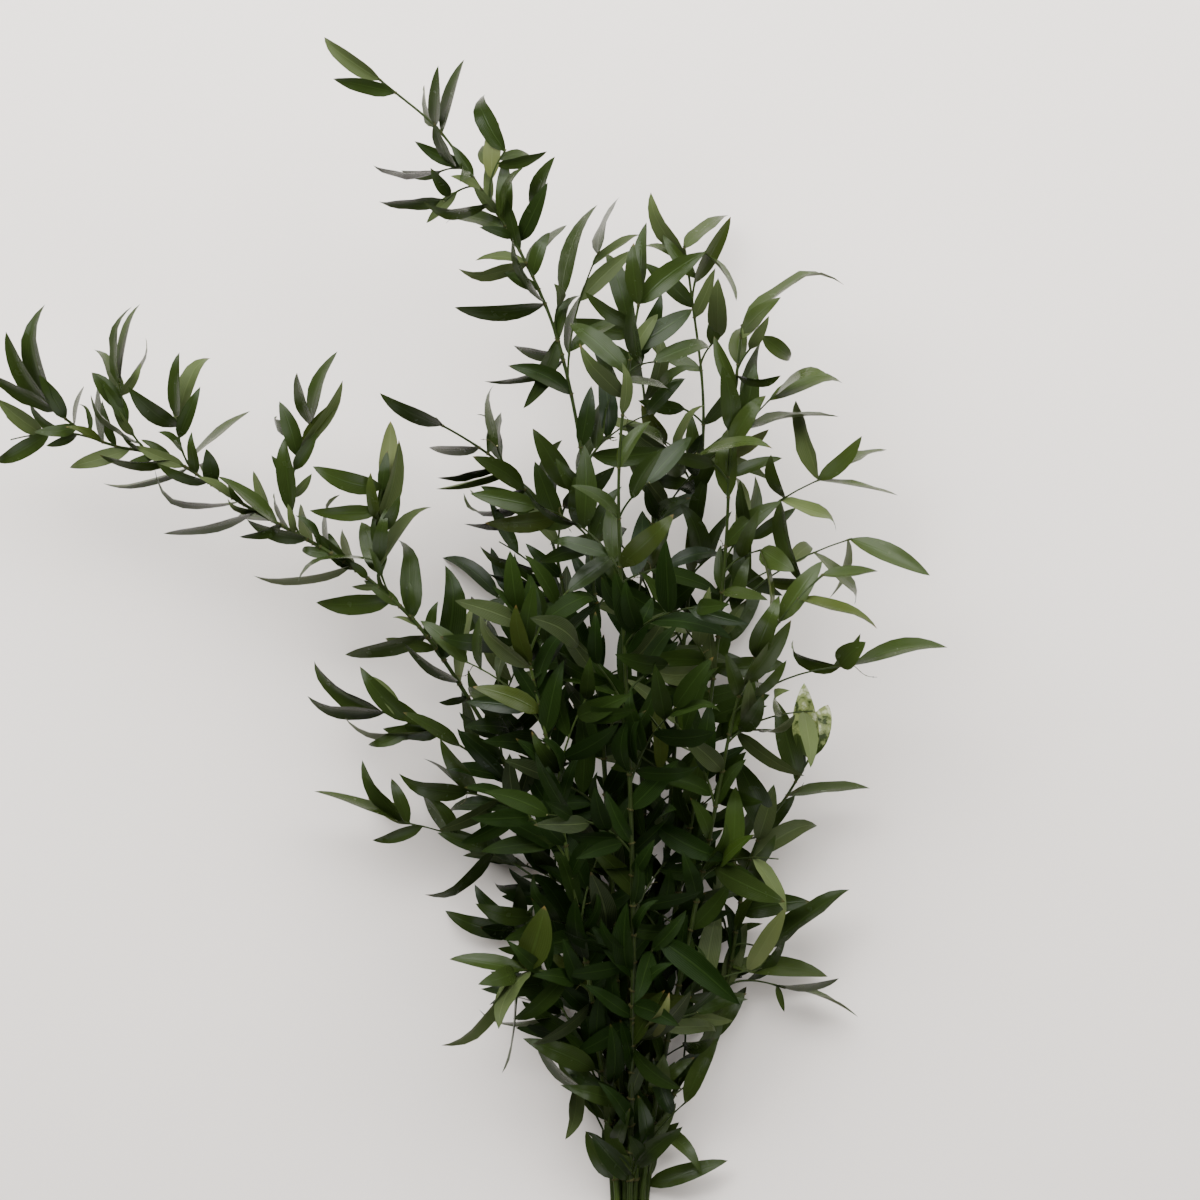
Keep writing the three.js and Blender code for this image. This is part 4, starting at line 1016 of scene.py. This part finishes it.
def in_box(point):
    """Whether a place is inside the box round the solids."""
    return all(low < c * MM < high for c, low, high in zip(point, *cad_box))


def upwards(values, span, point):
    """A value that changes from one to the other between two heights of the bunch."""
    share = min(1.0, max(0.0, (point[1] - span[0]) / (span[1] - span[0])))
    return values[0] + (values[1] - values[0]) * share


def fill(stems):
    """Adds the smaller leaves: on the twigs, over the stems in the bunch, and along the rest."""
    luck = random.Random(FILL_SEED).random
    for stem in stems:
        for limb in stem["limbs"]:
            side = 1
            distance = FIRST_SMALL_LEAF
            bare = LAST_LEAF if limb.start else BARE_TIPS.get(stem["plan"]["name"], LAST_LEAF)
            while distance < limb.length - bare:
                point = limb.along(distance)[0]
                rule = COVER if in_spread(point) else HUG
                if limb in stem["twigs"]:
                    rule = FILL
                if point[1] > GRIP_TOP_Y:
                    scale = between(*rule["scales"], luck)
                    fits = in_box if rule is HUG else in_spread
                    node_leaf(stem, limb, distance, side, scale, rule, luck, fits)
                side = -side
                distance += upwards(rule["spacing"], BUNCH_OPENS, point)


def share_along(t):
    """Shares along a blade that lie closer together towards its two ends."""
    return (t + (1 - math.cos(math.pi * t)) / 2) / 2


def new_mesh(name, bm):
    mesh = bpy.data.meshes.new(name)
    bm.to_mesh(mesh)
    bm.free()
    return mesh


def grown_bmesh():
    """An empty bmesh with the UV map and the face values that the materials read."""
    bm = bmesh.new()
    bm.loops.layers.uv.new("grown")
    for name in FACE_VALUES:
        bm.faces.layers.float.new(name)
    return bm


def dress(bm, faces, material, values=(0.0, 0.0, 0.0)):
    """Gives faces their material, smooth shading and face values."""
    for face in faces:
        face.smooth = True
        face.material_index = material
        for name, value in zip(FACE_VALUES, values):
            face[bm.faces.layers.float[name]] = value


def blade_blank():
    """A flat closed blade: x from edge to edge, y from root to tip, z is 1 above and -1 below."""
    bm = grown_bmesh()
    across, along = BLADE_FACES
    bmesh.ops.create_grid(bm, x_segments=across, y_segments=along, size=1, calc_uvs=True)
    upper = bm.faces[:]
    copies = bmesh.ops.duplicate(bm, geom=bm.verts[:] + bm.edges[:] + bm.faces[:])["geom"]
    under = [part for part in copies if isinstance(part, bmesh.types.BMFace)]
    bmesh.ops.reverse_faces(bm, faces=under)
    for sheet, side, material in ((upper, 1, UPPER), (under, -1, UNDER)):
        dress(bm, sheet, material)
        for vert in {vert for face in sheet for vert in face.verts if not vert.is_boundary}:
            vert.co.z = side
    rim = [vert for vert in bm.verts if vert.is_boundary]
    bmesh.ops.remove_doubles(bm, verts=rim, dist=MERGE)
    for edge in bm.edges:
        edge.smooth = edge.link_faces[0].material_index == edge.link_faces[1].material_index
    return new_mesh("blade_blank", bm)


def blade_looks(leaf, luck):
    """The small differences between leaves: how the margins roll and wave and the tip hooks."""
    return {
        "roll": between(*EDGE_ROLL, luck.random),
        "wave": between(*WAVE, luck.random),
        "waves": between(*WAVES, luck.random) * 2 * math.pi,
        "phase": luck.random() * 2 * math.pi,
        "hook": TIP_HOOK * luck.random() ** HOOK_RARITY * leaf["arc"],
        "bow": between(*BOW, luck.random) * leaf["arc"],
    }


def fine_point(leaf, looks, seat, across, share, side):
    """A point of the fine blade, inside the solid's: rounded along its rib and thin at its margins."""
    rib, edge, over = blade_frame(leaf, share)
    stalk = min(1.0, max(0.0, share - STALK_SHARE) / (1 - STALK_SHARE))
    breadth = leaf["breadth"] * outline(stalk, FINE_SHOULDER, FINE_TAPER)
    breadth = max(breadth, STALK_BREADTH * (1 - share) + TIP_BREADTH)
    keel = math.hypot(across, KEEL_ROUND) - KEEL_ROUND
    lift = keel * breadth * math.sin(leaf["fold"])
    lift -= looks["roll"] * breadth * abs(across) ** 3 / 2
    swell = math.sin(looks["waves"] * share + looks["phase"] + (across > 0) * math.pi / 2)
    lift += looks["wave"] * breadth * swell * across * across
    lift -= looks["hook"] * max(0.0, (share - HOOK_FROM) / (1 - HOOK_FROM)) ** 2
    thickness = EDGE_THICKNESS + (RIB_THICKNESS - EDGE_THICKNESS) * (1 - abs(across)) ** 2
    lift += (side * thickness - BLADE_THICKNESS) / 2
    sideways = across * breadth * math.cos(leaf["fold"]) + looks["bow"] * math.sin(math.pi * share)
    x, y, z = plus(plus(plus(rib, edge, sideways), over, lift), seat, 1 - share)
    return (x, y, max(z, TABLE_CLEAR + (side + 1) * thickness / 2))


def add_blade(bm, blank, leaf, tone, luck):
    """Adds one fine leaf with its own small differences of shape and colour and its painted shade."""
    seat = minus(smooth_root(leaf["place"]), leaf["place"]["point"])
    looks = blade_looks(leaf, luck)
    first_vert, first_face = len(bm.verts), len(bm.faces)
    bm.from_mesh(blank)
    bm.verts.ensure_lookup_table()
    bm.faces.ensure_lookup_table()
    for vert in bm.verts[first_vert:]:
        across, along, side = vert.co
        vert.co = fine_point(leaf, looks, seat, across, share_along((along + 1) / 2), side)
    fresh = tone + TONE_SPREAD * (luck.random() + luck.random() - 1)
    # Painted shade: a leaf deep inside the bunch, more so low in it, is given a darker green
    middle = on_blade(leaf, 0.5, 0)
    shade = min(1.0, max(0.0, depth_in_spread(middle) / PAINTED_SHADE_DEPTH))
    shade *= upwards(PAINTED_SHADE_FADES, PAINTED_SHADE_UP_TO, middle)
    fresh -= PAINTED_SHADE_TONE * shade
    age = luck.random() ** AGE_POWER
    # Deep in the painted shade the upper side gets its shaded copy, and fewer leaves turn over
    top = PAINTED_SHADE_UPPER if shade > PAINTED_SHADE_FROM else UPPER
    sides = {UPPER: top, UNDER: UNDER}
    if luck.random() < TURNED_OVER + (TURNED_IN_PAINTED_SHADE - TURNED_OVER) * shade:
        sides = {UPPER: UNDER, UNDER: top}
    for face in bm.faces[first_face:]:
        dress(bm, [face], sides[face.material_index], (fresh, age, leaf["scar"]))


def add_tube(bm, points, radii, sides, material, tone=0.0):
    """A round tube through points: a grid rolled up, with its seam joined and its ends closed."""
    rings = []
    side = cross(minus(points[1], points[0]), UP)
    for i, point in enumerate(points):
        ahead = unit(minus(points[min(i + 1, len(points) - 1)], points[max(i - 1, 0)]))
        side = unit(plus(side, ahead, -sum(a * b for a, b in zip(side, ahead))))
        rings.append((point, side, cross(ahead, side), radii[i]))
    grid = bmesh.ops.create_grid(
        bm, x_segments=sides, y_segments=len(points) - 1, size=1, calc_uvs=True
    )["verts"]
    for vert in grid:
        point, side, other, radius = rings[round((vert.co.y + 1) / 2 * (len(points) - 1))]
        turn = (vert.co.x + 1) * math.pi
        x, y, z = plus(plus(point, side, radius * math.cos(turn)), other, radius * math.sin(turn))
        vert.co = (x, y, max(z, TABLE_CLEAR))
    faces = {face for vert in grid for face in vert.link_faces}
    dress(bm, faces, material, (tone, 0.0, 0.0))
    bmesh.ops.remove_doubles(bm, verts=grid, dist=MERGE)
    rims = [edge for edge in {edge for face in faces for edge in face.edges} if edge.is_boundary]
    for edge in rims:
        edge.smooth = False
    ends = bmesh.ops.holes_fill(bm, edges=rims, sides=sides)["faces"]
    dress(bm, ends, CUT if material == BARK else material)
    bmesh.ops.recalc_face_normals(bm, faces=[*faces, *ends])


def add_limb(bm, limb, nodes, tone):
    """One stem or shoot, with the small swelling that it has under each leaf."""
    trunk = limb.start is None
    step, sides = (STEM_STEP, STEM_FACES) if trunk else (SHOOT_STEP, SHOOT_FACES)
    count = max(3, math.floor(limb.length / step + 0.5))
    points, radii = [], []
    for i in range(count + 1):
        distance = limb.length * i / count
        radius = limb.radius(distance) * ROUND_SHARE
        if not trunk:
            radius = SHOOT_ROOT + (SHOOT_END - SHOOT_ROOT) * i / count
        swell = sum(math.exp(-(((distance - node) / NODE_REACH) ** 2)) for node in nodes)
        points.append(limb.smooth(distance))
        radii.append(radius + NODE_SWELL * min(1.0, swell))
    add_tube(bm, points, radii, sides, BARK, tone)


def add_bract(bm, leaf, luck):
    """The small dry scale at a leaf's root, left out where it would reach into the table."""
    place = leaf["place"]
    limb = place["limb"]
    root = smooth_root(place)
    length = between(*BRACT_LENGTH, luck.random)
    base = BRACT_WIDTH * (SHOOT_END if limb.start else limb.radius(place["distance"]))
    if root[2] < max(length, base):
        return
    way = unit(plus(place["heading"], leaf["chord"], BRACT_LEAN))
    cone = bmesh.ops.create_cone(
        bm, cap_ends=True, segments=BRACT_SIDES, radius1=base, radius2=BRACT_TIP, depth=length
    )["verts"]
    turn = Vector(UP).rotation_difference(Vector(way)).to_matrix()
    bmesh.ops.transform(bm, matrix=turn.to_4x4(), verts=cone)
    bmesh.ops.translate(bm, vec=plus(root, way, length * BRACT_SEAT), verts=cone)
    dress(bm, {face for vert in cone for face in vert.link_faces}, SCALE)


def add_spur(bm, start, tip, curl):
    """A thin flower stalk left over from the summer: it curls and carries dry buds."""
    way = minus(tip, start)
    side = unit(cross(way, UP))
    points = []
    for i in range(SPUR_CHORDS + 1):
        t = i / SPUR_CHORDS
        bend = curl * length_of(way) * math.sin(math.pi * t * SPUR_TURN) * t
        x, y, z = plus(plus(start, way, t), side, bend)
        points.append((x, y, max(z, BUD_RADIUS + TABLE_CLEAR)))
    radii = [SPUR_RADIUS * (1 - i / SPUR_CHORDS * SPUR_THINS) for i in range(SPUR_CHORDS + 1)]
    add_tube(bm, points, radii, SPUR_SIDES, SCALE)
    for point in points[FIRST_BUD::BUD_STEP]:
        bud = bmesh.ops.create_icosphere(bm, subdivisions=1, radius=BUD_RADIUS)["verts"]
        bmesh.ops.translate(bm, vec=point, verts=bud)
        dress(bm, {face for vert in bud for face in vert.link_faces}, SCALE)


def add_spurs(stems, luck):
    """Where the old flower stalks are: the given ones, and a few at the leaf roots of the twigs."""
    limbs = [limb for stem in stems for limb in stem["limbs"]]
    for x0, y0, x1, y1 in FLOWER_STALKS:
        place = nearest_wood(limbs, x0, y0)
        owner = next(stem for stem in stems if place["limb"] in stem["limbs"])
        start = smooth_root(place)
        owner["spurs"].append((start, plus(start, (x1 - x0, y1 - y0, 0.0))))
    for stem in stems:
        for leaf in stem["blades"]:
            place = leaf["place"]
            if place["limb"] in stem["twigs"] and luck.random() < SPUR_SHARE:
                start = smooth_root(place)
                way = unit(plus(place["heading"], leaf["chord"], -1.0))
                stem["spurs"].append((start, plus(start, way, between(*SPUR_LENGTH, luck.random))))


def fine_stem(stem, blank, luck):
    """One whole stem as one fine piece, in place of its solid."""
    name = stem["plan"]["name"]
    tone, bark_tone = GREENS[name]
    bm = grown_bmesh()
    # The blades come first, while nothing has been deleted, so that each one's vertices come last
    for leaf in stem["blades"]:
        add_blade(bm, blank, leaf, tone, luck)
    for limb in stem["limbs"]:
        nodes = [leaf["place"]["distance"] for leaf in stem["blades"] if leaf["place"]["limb"] is limb]
        add_limb(bm, limb, nodes, bark_tone)
    for leaf in stem["blades"]:
        add_bract(bm, leaf, luck)
    for start, tip in stem["spurs"]:
        add_spur(bm, start, tip, between(-SPUR_CURL, SPUR_CURL, luck.random))
    bmesh.ops.scale(bm, vec=(MM, MM, MM), verts=bm.verts)
    piece = bpy.data.objects.new("fine_" + name, new_mesh("fine_" + name, bm))
    bpy.context.scene.collection.objects.link(piece)
    for material in MATERIALS:
        piece.data.materials.append(material)
    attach(piece, "root")
    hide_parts(name)


def srgb(code):
    """A linear colour from its sRGB hex code."""
    parts = [int(code[i : i + 2], 16) / 255 for i in (1, 3, 5)]
    return [c / 12.92 if c <= 0.04045 else ((c + 0.055) / 1.055) ** 2.4 for c in parts] + [1.0]


def add(tree, kind, inputs=None, out=0, **settings):
    """Adds a node with its settings and with values or links in its sockets, and gives one output."""
    node = tree.nodes.new("ShaderNode" + kind)
    for name, value in settings.items():
        setattr(node, name, value)
    for socket, value in (inputs or {}).items():
        if isinstance(value, bpy.types.NodeSocket):
            tree.links.new(value, node.inputs[socket])
        else:
            node.inputs[socket].default_value = value
    return node.outputs[out] if node.outputs else None


def new_material(name):
    material = bpy.data.materials.new(name)
    material.use_nodes = True
    material.node_tree.nodes.clear()
    return material, material.node_tree


def leaf_material(name, colours, roughness, groove, shine):
    """Italian ruscus leaf, Danae racemosa: a leathery blade with fine veins from root to tip.

    colours: deep green, fresh green, yellowed, rib, and the light that comes through. groove: how
    far the rib and the veins stand out, in millimetres, or sink in. shine: how strong the wax is.
    """
    deep, fresh, yellowed, rib_colour, through = (srgb(code) for code in colours)
    material, tree = new_material(name)
    uv = add(tree, "TexCoord", out="UV")
    place = add(tree, "TexCoord", out="Object")
    tone, age, scar = (add(tree, "Attribute", attribute_name=value, out="Fac") for value in FACE_VALUES)
    cloud, flakes, grain = (
        add(tree, "TexNoise", {"Vector": place, "Scale": 1 / (size * MM), "Detail": detail})
        for size, detail in (CLOUDS, FLAKES, GRAIN)
    )
    split = add(tree, "SeparateXYZ", {0: uv}).node
    across, along = split.outputs["X"], split.outputs["Y"]
    # Clouds of lighter and darker green a centimetre across, over the tone with its painted shade
    shade = add(tree, "Math", {0: cloud, 1: CLOUD_DEPTH, 2: tone}, operation="MULTIPLY_ADD")
    shade = add(tree, "Math", {0: shade, 1: CLOUD_DEPTH / 2}, operation="SUBTRACT", use_clamp=True)
    colour = add(tree, "Mix", {0: shade, 6: deep, 7: fresh}, 2, data_type="RGBA")
    # A few old leaves turn yellow, and their tips dry out
    old = add(tree, "MapRange", {"Value": age, "From Min": YELLOW_FROM, "To Max": YELLOW_SHARE})
    start, end = DRY_TIP_FROM
    dry = add(tree, "MapRange", {"Value": along, "From Min": start, "From Max": end})
    dry = add(tree, "Math", {0: dry, 1: age}, operation="MULTIPLY")
    # The rib down the middle and the veins beside it
    off_rib = add(tree, "Math", {0: across, 1: 0.5}, operation="SUBTRACT")
    off_rib = add(tree, "Math", {0: off_rib}, operation="ABSOLUTE")
    rib = add(tree, "MapRange", {"Value": off_rib, "From Max": RIB_SHARE, "To Min": 1.0, "To Max": 0.0})
    veins = add(
        tree, "TexWave", {"Vector": uv, "Scale": VEINS * WAVE_TO_COUNT, "Distortion": VEIN_WANDER}, "Fac"
    )
    faint = add(tree, "Math", {0: veins, 1: VEIN_SHARE}, operation="MULTIPLY")
    faint = add(tree, "Math", {0: rib, 1: RIB_STRENGTH, 2: faint}, operation="MULTIPLY_ADD")
    layers = [(old, yellowed), (dry, srgb(DRY_TIP)), (faint, rib_colour)]
    # Old scars towards the tip: bleached, silvery where the wax has lifted, and brown spots
    ragged = add(tree, "Math", {0: along, 1: SCAR_DRIFT, 2: flakes}, operation="MULTIPLY_ADD")
    for start, tint in SCARS:
        end = start + SCAR_BLEND
        patch = add(tree, "MapRange", {"Value": ragged, "From Min": start, "From Max": end})
        patch = add(tree, "Math", {0: patch, 1: scar}, operation="MULTIPLY")
        layers.append((patch, srgb(tint)))
    for share, tint in layers:
        colour = add(tree, "Mix", {0: share, 6: colour, 7: tint}, 2, data_type="RGBA")
    # The cuticle: smooth and waxy, with a fine grain and the veins in low relief
    least, most = roughness - GLOSS_SPREAD, roughness + GLOSS_SPREAD
    rough = add(tree, "MapRange", {"Value": cloud, "To Min": least, "To Max": most})
    relief = add(tree, "Math", {0: veins, 1: VEIN_RELIEF, 2: rib}, operation="MULTIPLY_ADD")
    relief = add(tree, "Math", {0: grain, 1: GRAIN_RELIEF, 2: relief}, operation="MULTIPLY_ADD")
    normal = add(
        tree, "Bump", {"Height": relief, "Strength": 1.0, "Distance": abs(groove) * MM},
        invert=groove < 0,
    )
    wax = {"Roughness": rough, "IOR": CUTICLE_IOR, "Specular IOR Level": shine}
    gloss = add(tree, "BsdfPrincipled", {"Base Color": colour, "Normal": normal, **wax})
    lit = add(tree, "Mix", {0: THROUGH_TINT, 6: colour, 7: through}, 2, data_type="RGBA")
    glow = add(tree, "BsdfTranslucent", {"Color": lit, "Normal": normal})
    leaf = add(tree, "MixShader", {0: THROUGH_SHARE, 1: gloss, 2: glow})
    add(tree, "OutputMaterial", {"Surface": leaf})
    return material


def plain_material(name, colours, size, roughness, bump, stripes=0.0):
    """Wood, pith or dry scale: two colours in patches of a size, and a relief, in millimetres."""
    deep, pale = (srgb(code) for code in colours)
    material, tree = new_material(name)
    uv = add(tree, "TexCoord", out="UV")
    place = add(tree, "TexCoord", out="Object")
    tone = add(tree, "Attribute", attribute_name="tone", out="Fac")
    patches = add(tree, "TexNoise", {"Vector": place, "Scale": 1 / (size * MM), "Detail": PATCH_DETAIL})
    ridges = add(
        tree, "TexWave", {"Vector": uv, "Scale": RIDGES * WAVE_TO_COUNT, "Distortion": RIDGE_WANDER}, "Fac"
    )
    relief = add(tree, "Math", {0: ridges, 1: stripes, 2: patches}, operation="MULTIPLY_ADD")
    shade = add(tree, "Math", {0: relief, 1: PATCH_DEPTH, 2: tone}, operation="MULTIPLY_ADD")
    shade = add(tree, "Math", {0: shade, 1: PATCH_DEPTH / 2}, operation="SUBTRACT", use_clamp=True)
    colour = add(tree, "Mix", {0: shade, 6: deep, 7: pale}, 2, data_type="RGBA")
    normal = add(tree, "Bump", {"Height": relief, "Strength": 1.0, "Distance": bump * MM})
    skin = {"Roughness": roughness, "IOR": CUTICLE_IOR, "Specular IOR Level": BARK_SHINE}
    surface = add(tree, "BsdfPrincipled", {"Base Color": colour, "Normal": normal, **skin})
    add(tree, "OutputMaterial", {"Surface": surface})
    return material


def add_floor():
    """A plain pale table top, matt."""
    bm = bmesh.new()
    bmesh.ops.create_circle(bm, cap_ends=True, segments=TABLE_SIDES, radius=TABLE_RADIUS)
    floor = bpy.data.objects.new("floor", new_mesh("floor", bm))
    bpy.context.scene.collection.objects.link(floor)
    material, tree = new_material("table_matt_paint")
    paint = add(tree, "BsdfPrincipled", {"Base Color": srgb(TABLE), "Roughness": TABLE_ROUGHNESS})
    add(tree, "OutputMaterial", {"Surface": paint})
    floor.data.materials.append(material)


def add_light(name, place, size, power):
    """A large soft lamp that faces the middle of the bunch."""
    lamp = bpy.data.lights.new(name, "AREA")
    lamp.size = size
    lamp.energy = power
    light = bpy.data.objects.new(name, lamp)
    light.location = place
    middle = Vector((VIEW_CENTRE[0], VIEW_CENTRE[1], 0)) * MM
    light.rotation_euler = (middle - light.location).to_track_quat("-Z", "Y").to_euler()
    bpy.context.scene.collection.objects.link(light)


def add_world():
    """Even, pale room light from all round."""
    world = bpy.data.worlds.new("room")
    world.use_nodes = True
    world.node_tree.nodes.clear()
    light = add(world.node_tree, "Background", {"Color": srgb(ROOM), "Strength": ROOM_POWER})
    add(world.node_tree, "OutputWorld", {"Surface": light})
    bpy.context.scene.world = world


def add_camera():
    """Straight above the bunch, far away, so that heights hardly shift what is seen."""
    lens = bpy.data.cameras.new("camera")
    lens.sensor_width = SENSOR
    lens.lens = SENSOR * CAMERA_DISTANCE / VIEW_WIDTH
    camera = bpy.data.objects.new("camera", lens)
    height = CAMERA_DISTANCE + VIEW_HEIGHT
    camera.location = (VIEW_CENTRE[0] * MM, VIEW_CENTRE[1] * MM, height * MM)
    bpy.context.scene.collection.objects.link(camera)
    bpy.context.scene.camera = camera


# Upper side: a thick waxy cuticle over dark green, so it shows soft grey shine and a sunk rib.
# Underside: without that wax, so it is paler, greyer and duller, and its rib stands out.
# Bark: a young green stem, smooth and finely ridged.
# Pith: where the stems were cut across, pale and fibrous.
# Scales: dry papery skin at the leaf roots, and old flower stalks.
# Shaded upper side: painted shade, a darker and duller copy of the upper side for inner leaves.
UPPER_TINTS = ("#40461A", "#34481E", "#6C7F2C")
UNDER_TINTS = ("#66693A", "#5C6840", "#6C7F2C")
MATERIALS = [
    leaf_material(
        "ruscus_leaf_waxy_upper", ("#0A1605", "#2F3A16", *UPPER_TINTS),
        roughness=0.25, groove=-GROOVE, shine=0.18,
    ),
    leaf_material(
        "ruscus_leaf_matt_under", ("#111A09", "#4D5832", *UNDER_TINTS),
        roughness=0.42, groove=GROOVE, shine=0.09,
    ),
    plain_material(
        "ruscus_green_bark", ("#0A0F05", "#38471F"), size=9, roughness=0.45, bump=0.08, stripes=0.5
    ),
    plain_material("ruscus_cut_pith", ("#8E8D63", "#C2BC93"), size=0.5, roughness=0.8, bump=0.1),
    plain_material("ruscus_dry_scale", ("#3A3A20", "#6B5E3A"), size=1.5, roughness=0.7, bump=0.1),
    leaf_material(
        "ruscus_leaf_painted_shade_upper", ("#0A1704", "#2B3911", *UPPER_TINTS),
        roughness=0.42, groove=-GROOVE, shine=0.04,
    ),
]

stems = grow()
fill(stems)
luck = random.Random(LOOK_SEED)
add_spurs(stems, luck)
blank = blade_blank()
for stem in stems:
    fine_stem(stem, blank, luck)
bpy.data.meshes.remove(blank)

add_floor()
add_world()
for row in LIGHTS:
    add_light(*row)
add_camera()
